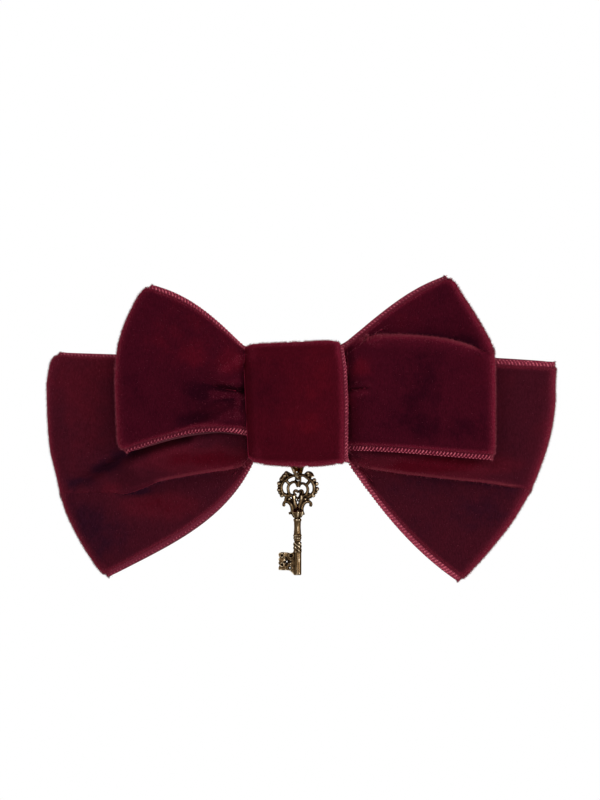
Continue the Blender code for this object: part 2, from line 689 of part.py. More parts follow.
def key_charm():
    """The cast key: scrolled bow, turned stem with collars, and the bit at the left."""
    frame = [(1.7, -0.4), (3.0, -1.2), (3.8, -2.3), (3.9, -3.4), (3.4, -4.3), (2.2, -4.9)]
    heart = [(0.4, -2.7), (0.9, -2.1), (1.5, -1.9), (2.1, -2.4), (2.2, -3.2), (1.8, -4.1), (1.3, -4.8)]
    strut = [(1.8, -2.0), (3.0, -1.2)]
    curl = [(0.5, -3.9), (0.8, -4.3), (1.4, -4.9)]
    leg = [(1.7, -5.3), (1.1, -5.8), (0.9, -7.0), (0.4, -8.4)]
    horn = [(1.0, -7.0), (1.4, -6.3), (2.0, -6.0), (2.7, -6.2), (2.9, -6.7)]
    foot = [(0.7, -7.6), (1.0, -8.2), (1.6, -8.5)]
    wires = [(frame, 0.55), (heart, 0.36), (strut, 0.3), (curl, 0.4), (leg, 0.45), (horn, 0.3), (foot, 0.3)]
    ball = [(0.0, 0.7), (0.5, 0.5), (0.7, 0.0), (0.5, -0.5), (0.0, -0.7)]
    ball = [(a * KEY_STEP, b * KEY_STEP) for a, b in ball]
    bar = drawn([(-1.8, -0.3), (0.0, 0.0), (1.8, -0.3)], 1.0, KEY_TOP)
    steps = []
    for side in (-1.0, 1.0):
        for points, radius in wires:
            path = drawn(points, side, KEY_TOP)
            steps.append(("UNION", wire(path, radius * KEY_STEP, resolution=2, smooth=3)))
        volute = drawn([(1.8, -5.3)], side, KEY_TOP)[0]
        steps.append(("UNION", turned(ball, 12, "Y", volute)))
    neck = KEY_TOP - 8.1 * KEY_STEP
    stem = KEY_STEM
    drops = [
        (0.0, -0.4), (1.1, 0.0), (1.5, 0.4), (1.0, 1.1), (0.85, 1.4), (1.05, 1.8), (0.85, 2.4),
        (0.85, 5.2), (1.1, 6.0), (0.9, 6.8), (1.2, 7.4), (1.2, 8.0), (1.0, 8.6),
    ]
    profile = [(stem * share, neck - drop * KEY_STEP) for share, drop in drops]
    profile += [(stem, KEY_END + stem / 3), (stem * 0.8, KEY_END), (0.0, KEY_END)]
    steps.append(("UNION", turned(profile, 20, "Z", (0.0, KEY_DEPTH, 0.0))))
    bit = [
        (0.0, 0.2), (-1.4, 0.0), (-2.0, 0.2), (-3.7, 0.2), (-4.0, -0.2), (-3.7, -1.0), (-4.0, -1.8),
        (-3.7, -2.6), (-4.0, -3.6), (-3.8, -4.0), (-2.2, -4.0), (-1.2, -4.4), (-0.6, -4.7), (0.0, -4.7),
    ]
    star = [
        (-2.6, -1.4), (-2.3, -1.7), (-1.6, -1.9), (-2.3, -2.2), (-2.6, -2.6), (-2.9, -2.2),
        (-3.0, -1.9), (-2.9, -1.7),
    ]
    bit = [(a * KEY_STEP, b * KEY_STEP) for a, b in bit]
    star = [(a * KEY_STEP, b * KEY_STEP) for a, b in star]
    turn = Matrix.Translation((0.0, KEY_DEPTH, KEY_END + BIT_RISE)) @ Matrix.Rotation(math.radians(90.0), 4, "X")
    steps.append(("UNION", outline(bit, BIT_THICK / 2, turn, [star])))
    made = joined("key_charm", BRONZE_LOOK, wire(bar, KEY_BAR, resolution=2), steps)
    pivot = Vector((0.0, KEY_DEPTH, ring_low()))
    made.data.transform(Matrix.Translation(-pivot))
    made.location = pivot
    return made


ribbon_bow("front_bow_ribbon", FRONT_BOW, FRONT_RIGHT, FRONT_LEFT)
ribbon_bow("rear_bow_ribbon", REAR_BOW, REAR_RIGHT, REAR_LEFT)
centre_wrap()
gather_thread("front_gather_thread", FRONT_FRONT, FRONT_BACK)
gather_thread("rear_gather_thread", REAR_FRONT, REAR_BACK)
clip_base_plate()
clip_hinge_pin()
clip_tension_spring()
rivet("spring_rivet", RIVET_X, END_BACK - PLATE, END_BACK + GAP + SPRING)
rivet("catch_rivet", CATCH_X, END_BACK - PLATE, CATCH_FRONT + CATCH_BASE)
catch_base()
clasp_arm()
catch_wing("catch_wing_upper", 1.0)
catch_wing("catch_wing_lower", -1.0)
jump_ring()
charm_thread_loop()
key_charm()

bpy.context.view_layer.update()
for made in parts.objects:
    made.data.calc_loop_triangles()
    print(made.name, len(made.data.loop_triangles))
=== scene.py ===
# %% [markdown]
# # A velvet double bow on a hair clip, with a small hanging key
# Two velvet ribbons are each closed into a ring, pinched in the middle and laid one on the other.
# A narrow ribbon goes round both and round the plate of a spring clip, and a cast key hangs below.
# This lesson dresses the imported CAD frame: every piece made here rides on one of its bodies.

import math

import bpy
import numpy as np
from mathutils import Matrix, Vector


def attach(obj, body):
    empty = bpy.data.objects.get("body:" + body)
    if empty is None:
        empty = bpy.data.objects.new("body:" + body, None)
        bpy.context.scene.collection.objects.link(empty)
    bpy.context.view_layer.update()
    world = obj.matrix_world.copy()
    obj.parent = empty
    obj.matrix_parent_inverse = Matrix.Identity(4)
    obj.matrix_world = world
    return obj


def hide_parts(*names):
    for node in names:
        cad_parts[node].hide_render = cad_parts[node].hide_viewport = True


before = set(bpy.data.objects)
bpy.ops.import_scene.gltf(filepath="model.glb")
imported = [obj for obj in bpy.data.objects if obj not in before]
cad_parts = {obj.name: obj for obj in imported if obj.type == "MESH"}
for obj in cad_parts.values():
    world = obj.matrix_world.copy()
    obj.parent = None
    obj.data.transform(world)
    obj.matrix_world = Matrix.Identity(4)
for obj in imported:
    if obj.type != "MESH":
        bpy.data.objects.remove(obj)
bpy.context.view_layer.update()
bpy.ops.object.select_all(action="DESELECT")
MM = 0.001

# %% [markdown]
# ## The camera
# The bow is seen square from the front and from far off, so that the front and rear loops keep their sizes.
# A long lens does that: the picture is 171 mm tall at the front bow, 1.5 m away.

# %% Place the camera
PICTURE_TALL = 171.0 * MM
PICTURE_MIDDLE = (0.43 * MM, 0.75 * MM)
CAMERA_AWAY = 1.5
BOW_DEPTH = -14.0 * MM
SENSOR = 36.0

eye = (PICTURE_MIDDLE[0], BOW_DEPTH - CAMERA_AWAY, PICTURE_MIDDLE[1])
bpy.ops.object.camera_add(location=eye, rotation=(math.pi / 2, 0.0, 0.0))
camera = bpy.context.object
camera.name = "camera"
camera.data.sensor_width = SENSOR
camera.data.lens = SENSOR * CAMERA_AWAY / PICTURE_TALL
camera.data.clip_end = 10.0
bpy.context.scene.camera = camera
print("lens in mm:", round(camera.data.lens, 1))

# %% [markdown]
# ## One loop of a bow
# A gathered ribbon loop leaves the knot, swells, runs out to a soft fold and comes back behind itself.
# Cloth simulation could find such a shape, but not this one: its pleats are set by the hand that tied it.
# So each loop is one surface, from the edges of the ribbon, a swelling in depth and a few drawn folds.

# %% Ribbon sizes, in millimetres
# A bow has its ribbon's width, the depths of its front and back at the knot, the depth and radius of its
# folds, how far its front and back swell, and how far its front stands up beside the wrap.
WRAP_WIDTH = 21.6
MOUTH_GAP = 0.3
MOUTH = WRAP_WIDTH / 2 + MOUTH_GAP
ENTRY_HALF = 11.5
KNOT_LEAN = 0.045
PILE = 0.5
BACKING = 0.45
SELVAGE = 1.25
FRONT_BOW = {
    "width": 38.0, "front": -17.3, "back": -15.1, "fold": -15.4, "radius": 1.5, "puff": (2.6, -0.4),
    "shoulder": 1.0,
}
REAR_BOW = {
    "width": 50.0, "front": -11.4, "back": -9.2, "fold": -9.5, "radius": 1.5, "puff": (0.8, 0.0),
    "shoulder": 0.0,
}

# %% Lines drawn on the loops, as x and z from the knot outward
# The tip, lean and span place a loop's fold, fold draws its outline across the ribbon, and rim is the reach
# of the highlight painted along its fold. The slip says how the back lies aside of the front. The other pairs
# are for the low and the top edge: entry and inset say where it leaves the knot, bulge how it bows near and
# far, curl how it curls at the knot, half way and at the fold, stitch how large its stitches are, cut how far
# its corner at the fold is cut off, and pale how pale its selvage is.
# A pleat lays the cloth on one side of its line behind the other. Its heights are spread along the line, and
# lit is the share of the line up to which a highlight is painted on its crest. A crease is a line, its depth,
# its width and the share of its length over which it fades. A patch of painted shade or light is its middle,
# its reach and how much darker or lighter it paints the pile.
FRONT_RIGHT = {
    "tip": (36.9, 7.65), "lean": -14.0, "span": 1.073,
    "fold": [
        (0.0, 0.0), (0.05, 0.25), (0.245, 2.3), (0.38, 3.65), (0.52, 5.0), (0.565, 5.25), (0.61, 5.0),
        (0.67, 4.35), (0.74, 3.5), (0.81, 2.6), (0.88, 1.5), (0.95, 0.75), (0.985, 0.5), (1.0, 0.2),
    ],
    "rim": 0.3, "slip": (0.0, 0.0),
    "entry": (-0.88, 1.16), "inset": (0.0, 0.0), "bulge": ((-0.4, 0.0), (0.6, 1.7)),
    "curl": ((0.3, 0.0, 0.0), (0.3, 0.9, 1.2)), "stitch": (1.08, 0.85), "cut": (0.3, 1.0),
    "pale": (-1.0, 0.0),
    "pleat": {
        "line": [
            (10.6, 12.2), (12.5, 13.4), (14.75, 13.85), (17.95, 14.05), (21.2, 14.05), (24.4, 13.95),
            (27.6, 13.75), (30.8, 13.35), (34.0, 12.65), (36.5, 11.9), (39.0, 10.9),
        ],
        "side": 1.0, "height": (0.5, 2.3, 2.8, 2.2, 0.4), "reach": 14.0, "glow": 0.3, "lit": 0.9,
    },
    "creases": [
        ([(10.5, 2.6), (13.7, 3.3), (16.5, 3.1)], 1.3, 0.5, 0.5),
        ([(18.5, 9.5), (20.5, 4.0), (26.0, -2.0)], 0.8, 4.0, 0.4),
    ],
    "painted_light": [
        ((27.0, 6.5), (9.0, 4.5), -0.7), ((22.0, -3.0), (4.0, 3.5), -0.4), ((29.0, 20.0), (7.0, 5.0), -0.1),
        ((36.5, 13.4), (3.0, 1.5), -0.7), ((14.0, -4.0), (4.0, 4.0), 0.3), ((13.6, 7.7), (1.5, 1.9), 1.7),
        ((11.6, 10.2), (0.9, 2.6), -0.9), ((29.0, -5.5), (9.0, 3.5), -0.75),
        ((25.0, 0.5), (7.0, 3.5), -0.45), ((13.2, 3.9), (2.6, 1.0), -1.5), ((11.8, -1.0), (1.2, 4.0), 0.5),
    ],
}
FRONT_LEFT = {
    "tip": (-34.8, 7.3), "lean": 8.7, "span": 0.97,
    "fold": [
        (0.0, 0.0), (0.03, 0.45), (0.08, 0.9), (0.194, 1.75), (0.364, 3.0), (0.48, 3.65), (0.6, 3.95),
        (0.66, 3.75), (0.74, 3.3), (0.81, 2.6), (0.88, 1.75), (0.94, 0.9), (1.0, 0.1),
    ],
    "rim": 0.2, "slip": (0.0, -0.45),
    "entry": (-0.6, 1.08), "inset": (0.0, 0.0), "bulge": ((-2.6, -1.2), (1.1, 2.2)),
    "curl": ((-0.3, 0.9, 1.0), (0.8, 0.9, 0.8)), "stitch": (0.85, 1.25), "cut": (1.0, 1.0),
    "pale": (-0.8, 0.1),
    "pleat": None,
    "creases": [
        ([(-10.5, 2.7), (-15.0, 3.0), (-20.5, 4.4)], 2.1, 1.0, 0.6),
        ([(-16.0, 3.4), (-20.9, 5.4), (-23.5, 8.0)], 0.7, 1.8, 0.5),
        ([(-14.5, 0.6), (-19.9, -2.2), (-26.2, -6.0)], 1.5, 1.6, 0.4),
        ([(-10.6, 10.4), (-15.4, 7.4), (-19.9, 6.9)], -0.8, 1.9, 0.5),
        ([(-10.8, -2.2), (-17.0, -4.4), (-22.0, -7.0)], -0.4, 1.8, 0.4),
    ],
    "painted_light": [
        ((-29.0, 15.0), (7.0, 8.0), 0.45), ((-14.0, 8.5), (2.4, 2.6), 1.2),
        ((-22.2, 10.0), (2.4, 2.4), 0.8), ((-22.0, 2.0), (5.0, 4.0), -0.5),
        ((-13.6, 2.8), (4.4, 1.1), -2.8), ((-15.0, -2.4), (4.0, 2.4), -0.8),
        ((-22.5, -3.2), (4.0, 1.6), -1.1), ((-18.0, 2.0), (3.4, 1.8), -1.3),
        ((-12.4, 2.8), (2.6, 3.0), -1.2),
    ],
}
REAR_RIGHT = {
    "tip": (44.6, -14.6), "lean": 23.3, "span": 1.03,
    "fold": [
        (0.0, 0.0), (0.067, 1.1), (0.15, 2.65), (0.235, 3.9), (0.317, 5.05), (0.39, 5.55), (0.47, 6.05),
        (0.56, 5.95), (0.65, 5.65), (0.72, 5.1), (0.78, 4.35), (0.845, 3.4), (0.89, 2.3), (0.937, 1.35),
        (0.97, 0.85), (1.0, 0.3),
    ],
    "rim": 0.36, "slip": (0.4, 0.3),
    "entry": (-1.1, 0.95), "inset": (0.7, 0.0), "bulge": ((1.3, 1.9), (0.0, 0.0)),
    "curl": ((0.0, 0.0, 0.0), (0.0, 0.0, 0.0)), "stitch": (1.3, 1.15), "cut": (0.2, 0.0),
    "pale": (0.8, 0.1),
    "pleat": {
        "line": [
            (10.8, -12.0), (14.3, -13.2), (17.3, -13.65), (23.1, -14.5), (28.6, -15.1), (34.2, -15.75),
            (39.7, -16.2), (45.3, -17.25), (49.6, -18.2),
        ],
        "side": -1.0, "height": (1.2, 2.2, 2.4, 1.5, 0.0), "reach": 18.0, "glow": 0.1, "lit": 0.9,
    },
    "creases": [
        ([(11.5, -12.9), (14.6, -15.1), (16.3, -18.9)], 0.9, 0.8, 0.4),
        ([(10.8, -9.6), (21.8, -11.4), (38.9, -13.4), (48.0, -15.0)], -1.8, 2.6, 0.3),
    ],
    "painted_light": [
        ((28.0, -13.2), (18.0, 2.0), 2.5), ((38.0, -25.0), (6.0, 6.0), -0.5),
        ((22.5, -22.5), (4.0, 3.0), 0.4), ((13.0, -15.4), (1.3, 2.4), 0.9), ((47.0, 2.0), (6.0, 10.0), 0.3),
    ],
}
REAR_LEFT = {
    "tip": (-46.7, -13.2), "lean": -14.0, "span": 0.995,
    "fold": [
        (0.0, 0.1), (0.06, 1.35), (0.14, 2.8), (0.215, 3.85), (0.29, 4.7), (0.36, 5.1), (0.45, 5.1),
        (0.5, 4.95), (0.57, 5.05), (0.62, 4.85), (0.68, 4.3), (0.75, 3.65), (0.81, 3.0), (0.88, 2.2),
        (0.94, 0.8), (1.0, -0.4),
    ],
    "rim": 0.2, "slip": (0.1, -0.3),
    "entry": (-1.1, 0.85), "inset": (0.9, 0.0), "bulge": ((4.2, 1.3), (0.0, 0.0)),
    "curl": ((0.7, 0.9, 0.8), (1.0, 1.4, 1.6)), "stitch": (0.6, 0.9), "cut": (0.2, 1.3),
    "pale": (-0.1, 0.0),
    "pleat": {
        "line": [
            (-10.3, -12.4), (-15.0, -13.6), (-18.8, -14.0), (-22.7, -14.65), (-26.3, -15.3),
            (-30.1, -16.0), (-32.0, -16.9), (-33.8, -17.7), (-36.5, -18.7), (-40.0, -18.8),
        ],
        "side": -1.0, "height": (1.4, 2.4, 2.6, 2.2, 0.2), "reach": 16.0, "glow": 0.1, "lit": 0.62,
    },
    "creases": [
        ([(-10.3, -7.2), (-20.9, -8.0), (-31.6, -11.8), (-39.5, -15.6)], -3.2, 3.6, 0.2),
        ([(-24.0, -7.0), (-33.0, -9.4), (-38.0, -12.0), (-44.4, -15.4), (-50.5, -18.2)], 2.2, 1.4, 0.3),
    ],
    "painted_light": [
        ((-46.0, 4.0), (7.0, 12.0), 1.0), ((-41.0, 8.0), (3.0, 3.0), 0.5),
        ((-44.5, -26.0), (9.0, 6.0), -0.9), ((-29.0, -21.8), (9.0, 2.8), 2.0),
        ((-36.0, -10.6), (4.6, 1.7), -1.5), ((-38.0, -31.0), (6.0, 5.0), -0.2),
        ((-41.5, -13.6), (4.6, 1.6), -1.5), ((-47.5, -16.8), (4.6, 1.5), -1.4),
        ((-39.8, -18.0), (2.6, 1.5), 1.3), ((-34.5, -18.8), (3.6, 0.8), -2.0),
        ((-20.0, -11.6), (13.0, 2.6), 2.5),
    ],
}


# %% Helpers for soft steps and lengths
def smooth_step(x):
    """Rises softly from 0 to 1 as x does."""
    x = np.clip(x, 0.0, 1.0)
    return x * x * (3.0 - 2.0 * x)


def hump(x, middle, reach):
    """A soft hump, 1 at its middle."""
    return np.exp(-((x - middle) / reach) ** 2)


def near_edge(away, reach):
    """1 at an edge, falling softly to 0 at the reach."""
    return np.clip(1.0 - away / reach, 0.0, 1.0) ** 2


def unit(vectors):
    return vectors / np.linalg.norm(vectors, axis=-1, keepdims=True)


def run_of(points, axis=0):
    """Length along each line of points, from zero at its first one."""
    run = np.cumsum(np.linalg.norm(np.diff(points, axis=axis), axis=-1), axis=axis)
    return np.concatenate((np.zeros_like(run.take([0], axis)), run), axis=axis)


def along_line(at, run, vectors):
    """Vectors given along a line, read at other lengths of it."""
    return np.array([np.interp(at, run, values) for values in vectors.T]).T


# %% Helpers for edges and drawn lines
EDGE_PULL = 1.5


def upward(along):
    """The normal of a direction in x and z that points up."""
    return np.array((-along[1], along[0])) * (1.0 if along[0] > 0 else -1.0)


def bowed_edge(start, end, bulge, outward):
    """A cubic edge between two points, bowed outward near its start and its end."""
    start = np.array(start)
    end = np.array(end)
    along = end - start
    normal = upward(unit(along)) * outward
    near = start + along / 3 + normal * bulge[0] * EDGE_PULL
    far = start + along * 2 / 3 + normal * bulge[1] * EDGE_PULL

    def at(s):
        s = np.asarray(s)[..., None]
        r = 1.0 - s
        return r ** 3 * start + 3 * r * r * s * near + 3 * r * s * s * far + s ** 3 * end

    return at


def drawn_line(points, rounds=3):
    """A line through the points with its corners cut a few times, so that it runs smoothly."""
    line = np.array(points)
    for _ in range(rounds):
        first = line[:-1] * 0.75 + line[1:] * 0.25
        second = line[:-1] * 0.25 + line[1:] * 0.75
        middle = np.stack((first, second), axis=1).reshape(-1, 2)
        line = np.concatenate((line[:1], middle, line[-1:]))
    return line


def from_line(place, line):
    """Height above a drawn line, the share of the way along it, and the line's upward normal."""
    best = np.full(place.shape[:2], np.inf)
    above = np.zeros(place.shape[:2])
    share = np.zeros(place.shape[:2])
    normal = np.zeros(place.shape)
    run = run_of(line)
    for i, length in enumerate(np.linalg.norm(np.diff(line, axis=0), axis=1)):
        along = (line[i + 1] - line[i]) / length
        up = upward(along)
        offset = place - line[i]
        q = np.clip(offset @ along, 0.0, length)
        away = np.linalg.norm(offset - q[..., None] * along, axis=-1)
        nearer = away < best
        best = np.where(nearer, away, best)
        above = np.where(nearer, np.copysign(away, offset @ up), above)
        share = np.where(nearer, (run[i] + q) / run[-1], share)
        normal[nearer] = up
    return above, share, normal


# %% Rows across a ribbon
EDGE_STEPS = np.array((0.0, 0.3, 0.6, 0.85, 1.0, 1.15, 1.3, 1.5, 1.75, 2.0, 2.3, 2.65, 3.0))
PLEAT_STEPS = np.array((
    -1.8, -1.3, -1.0, -0.8, -0.65, -0.5, -0.4, -0.3, -0.2, -0.1, 0.0, 0.1, 0.2, 0.35, 0.55, 0.8, 1.2, 1.8,
))
PLEAT_ROOM = 5.0
LOW_COLUMNS = 46
TOP_COLUMNS = 52


def across_ribbon(width, crossing):
    """Shares across a ribbon of given widths, close together at both selvages and where a pleat crosses."""
    width = np.asarray(width)[:, None]
    low = EDGE_STEPS / width
    start = low[:, -1:]
    fine = np.clip(crossing[:, None], PLEAT_ROOM / width, 1.0 - PLEAT_ROOM / width) + PLEAT_STEPS / width
    below = np.linspace(0.0, 1.0, LOW_COLUMNS + 2)[1:-1]
    above = np.linspace(0.0, 1.0, TOP_COLUMNS + 2)[1:-1]
    below = start + below * (fine[:, :1] - start)
    above = fine[:, -1:] + above * (1.0 - start - fine[:, -1:])
    share = np.concatenate((low, below, fine, above, 1.0 - low[:, ::-1]), axis=1)
    return share, np.minimum(share, 1.0 - share) * width


def pleat_crossing(place, shares, pleat):
    """The share across the ribbon at which each row meets its drawn pleat, or the middle if it has none."""
    if not pleat:
        return np.full(len(place), 0.5)
    above, _, _ = from_line(place, drawn_line(pleat["line"]))
    return np.array([np.interp(0.0, row, shares) for row in above])


def edge_distance(middle):
    """Distance of each point from the nearer edge, measured along the cloth."""
    run = run_of(middle, 1)
    return np.minimum(run, run[:, -1:] - run)


# %% Pleats, creases and patches of painted shade and light
PLEAT_EDGE = 0.45
PLEAT_EASE = 0.75
PLEAT_FULL = 0.8
BULGE, BULGE_AT, BULGE_WIDE = 0.35, -1.6, 1.8
ROLL, ROLL_AT, ROLL_WIDE = 0.45, 0.6 * PLEAT_EDGE, 0.7 * PLEAT_EDGE
# Painted light along a pleat: a thin highlight on the crest, a glow above it and shade below it.
CREST_AT, CREST_WIDE = -0.30, 0.08
LIT_FADE = 0.1
GLOW_FROM, GLOW_FADE = 0.2, 0.6
SHADE_FROM, SHADE_RISE, SHADE_FADE = 0.05, 0.3, 1.3


def add_pleat(place, depth, weight, pleat):
    """Lays the cloth beyond a drawn line behind it; gives a highlight painted on its crest, a glow above,
    shade behind.
    """
    above, share, normal = from_line(place, drawn_line(pleat["line"]))
    beyond = above * pleat["side"]
    stops = np.linspace(0.0, 1.0, len(pleat["height"]))
    height = np.interp(share, stops, pleat["height"]) * weight
    fall = smooth_step(beyond / (2.0 * PLEAT_EDGE) + 0.5)
    ease = 1.0 - PLEAT_EASE * smooth_step(beyond / pleat["reach"])
    depth += height * (fall * ease - BULGE * hump(beyond, BULGE_AT, BULGE_WIDE))
    strong = smooth_step(height / PLEAT_FULL)
    roll = ROLL * strong * (hump(beyond, -ROLL_AT, ROLL_WIDE) - hump(beyond, ROLL_AT, ROLL_WIDE))
    place += normal * (roll * pleat["side"])[..., None]
    lit = strong * (1.0 - smooth_step((share - pleat["lit"]) / LIT_FADE))
    crest = lit * hump(beyond, CREST_AT, CREST_WIDE)
    glow = lit * pleat["glow"] * np.exp(-np.clip(-beyond - GLOW_FROM, 0.0, None) / GLOW_FADE) * (beyond < 0.0)
    shade = smooth_step((beyond + SHADE_FROM) / SHADE_RISE) * np.exp(-np.clip(beyond, 0.0, None) / SHADE_FADE)
    return crest, glow, strong * shade


def add_crease(place, depth, weight, crease):
    """Presses a soft valley along a drawn line, or raises a ridge where the depth is below zero."""
    points, deep, wide, fading = crease
    above, share, _ = from_line(place, drawn_line(points))
    fade = smooth_step((1.0 - share) / fading)
    depth += deep * weight * fade * hump(above, 0.0, wide)


def painted_shade_and_light(place, patches):
    """Shade and light painted on the pile from a few soft patches, each making it darker or lighter."""
    tone = np.zeros(place.shape[:2])
    for centre, reach, amount in patches:
        away = (place - np.array(centre)) / np.array(reach)
        tone += amount * np.exp(-(away ** 2).sum(axis=-1))
    return tone


# %% Shape one loop
FRONT_ROWS = 100
FOLD_ROWS = 12
BACK_ROWS = 34
CROSSING_STEPS = 101
FOLD_LEAST = 0.75
CUT_REACH = 2.6
CURL_REACH = 2.2
SWELL_PEAK = 6.75
SWELL_EDGE = 0.6
SHOULDER, SHOULDER_FROM, SHOULDER_TO = 0.7, 0.1, 0.45
GATHER_COUNT, GATHER_RISE, GATHER_TO = 3, 0.2, 0.5
RIM_HIGHLIGHT = 0.95
RIM_TO = math.radians(70.0)
RIM_FADE = math.radians(45.0)
PLEAT_PAINTED_SHADE = 1.3


def flat_loop(loop, bow):
    """A loop laid flat: its place at shares along and across it, its two edges and its length."""
    side = math.copysign(1.0, loop["tip"][0])
    lean = math.radians(loop["lean"])
    up = np.array((math.sin(lean), math.cos(lean)))
    out = np.array((up[1], -up[0])) * side
    tip = np.array(loop["tip"])
    half = loop["span"] * bow["width"] / 2
    edges = []
    for entry, inset, bulge, way in zip(loop["entry"], loop["inset"], loop["bulge"], (-1.0, 1.0)):
        height = entry * ENTRY_HALF
        start = (side * (MOUTH - inset) - KNOT_LEAN * height, height)
        edges.append(bowed_edge(start, tip + way * up * half, bulge, way))
    low, top = edges
    fold = drawn_line(loop["fold"])

    def laid_flat(s, t):
        place = low(s) * (1.0 - t)[..., None] + top(s) * t[..., None]
        return place + out * (s ** 3 * np.interp(t, *fold.T))[..., None]

    return laid_flat, top, low, float(np.linalg.norm(tip - np.array((side * MOUTH, 0.0))))


def loop_rows(loop, bow):
    """One loop's middle surface in mm, from the knot over the front, round the fold and back behind."""
    laid_flat, top, low, length = flat_loop(loop, bow)
    # p runs from the knot to the fold and back, t across the ribbon from its low edge to its top edge.
    front = np.linspace(0.0, 1.0, FRONT_ROWS, endpoint=False)
    back = np.linspace(1.0, 0.0, BACK_ROWS + 1)[1:]
    p = np.concatenate((front, np.ones(FOLD_ROWS + 1), back))
    turn = np.concatenate((
        np.full(FRONT_ROWS, -math.pi / 2),
        np.linspace(-math.pi / 2, math.pi / 2, FOLD_ROWS + 1),
        np.full(BACK_ROWS, math.pi / 2),
    ))
    shares = np.linspace(0.0, 1.0, CROSSING_STEPS)
    rows = p[:, None] * (1.0 - bow["radius"] / length)
    crossing = pleat_crossing(laid_flat(rows, shares + 0.0 * rows), shares, loop["pleat"])
    width = np.linalg.norm(top(p) - low(p), axis=1)
    emerging = smooth_step(np.minimum(crossing, 1.0 - crossing) * width / PLEAT_ROOM)[:, None]
    t, edge = across_ribbon(width, crossing)
    p = p[:, None]
    turn = turn[:, None]
    lower = t < 0.5
    middle = 1.0 - (2.0 * t - 1.0) ** 2
    radius = bow["radius"] * (FOLD_LEAST + (1.0 - FOLD_LEAST) * middle)
    cut = np.where(lower, *loop["cut"]) * np.clip(1.0 - edge / CUT_REACH, 0.0, 1.0) ** 1.5 * p ** 10
    place = laid_flat(p * (1.0 - radius / length) + (np.cos(turn) * radius - cut) / length, t)

    ahead = np.clip(-np.sin(turn), 0.0, 1.0) * np.ones_like(t)
    behind = np.clip(np.sin(turn), 0.0, 1.0)
    swell = SWELL_PEAK * p * (1.0 - p) ** 2 * (SWELL_EDGE + (1.0 - SWELL_EDGE) * middle)
    inner = np.where(turn < 0.0, bow["front"], bow["back"])
    outer = bow["fold"] + radius * np.sin(turn)
    depth = inner + (outer - inner) * smooth_step(p)
    depth = depth + swell * (bow["puff"][1] * behind - bow["puff"][0] * ahead)
    shoulder = smooth_step(p / SHOULDER_FROM) * (1.0 - smooth_step(p / SHOULDER_TO))
    depth = depth - SHOULDER * bow["shoulder"] * ahead * shoulder
    gather = GATHER_RISE * np.cos(2.0 * math.pi * GATHER_COUNT * t)
    depth = depth + gather * (1.0 - smooth_step(p / GATHER_TO))
    place = place + np.array(loop["slip"]) * (behind * np.sin(math.pi * p) ** 0.6)[..., None]
    for crease in loop["creases"]:
        add_crease(place, depth, ahead, crease)
    curl = np.where(lower, *(np.interp(p, (0.0, 0.5, 1.0), values) for values in loop["curl"]))
    depth = depth + curl * ahead * near_edge(edge, CURL_REACH)

    # Shade and light are painted on the front from the listed patches, darker where folds are shaded, lighter
    # where lit.
    tone = painted_shade_and_light(place, loop["painted_light"]) * ahead
    # A highlight is painted along the fold and fades inward over the loop's rim reach.
    inward = radius * (1.0 - np.cos(turn)) + (1.0 - p) * length
    rim = RIM_HIGHLIGHT * np.exp(-inward / loop["rim"]) * smooth_step((RIM_TO - turn) / RIM_FADE)
    crest = np.zeros_like(t)
    # The pleat paints a highlight on its crest, a glow above it and shade below it.
    if loop["pleat"]:
        crest, glow, shade = add_pleat(place, depth, ahead * emerging, loop["pleat"])
        rim = rim + glow
        tone = tone - PLEAT_PAINTED_SHADE * shade
    cloth = np.dstack((place[..., 0], depth, place[..., 1]))
    from_edge = edge_distance(cloth)
    tone = np.where(from_edge < SELVAGE, np.where(lower, *loop["pale"]), tone)
    return cloth, from_edge, tone, np.dstack((rim, crest))


# %% [markdown]
# ## From a surface to cloth
# Velvet ribbon has a thick pile on one side, a plain backing on the other and a thin woven selvage along
# both edges, where the pile stops. The sheet is closed: pile side, backing side and the two narrow edges.
# An attribute marks the selvage, so that the material can change there.

# %% Give a surface its two sides
PILE_LOW, PILE_GROWS = 0.7, 2.2
EDGE_SUNK, EDGE_THIN = 0.05, 0.12
# Painted sheen where the surface bends, and as a bright line beside the selvage.
BEND_SHEEN, BEND_FROM, BEND_RANGE = 0.13, 0.28, 0.5
BESIDE_SHEEN = 0.4


def grid_slope(values, ring):
    """Steps from row to row, joined end to end on a ring."""
    if ring:
        return np.roll(values, -1, axis=0) - np.roll(values, 1, axis=0)
    return np.gradient(values, axis=0) * 2.0


def soften(values, rounds):
    """Averages each value with its neighbours in both directions."""
    for _ in range(rounds):
        padded = np.pad(values, 1, mode="edge")
        beside = padded[1:-1, :-2] + padded[1:-1, 2:]
        values = (padded[:-2, 1:-1] + padded[2:, 1:-1] + beside + 2.0 * values) / 6.0
    return values


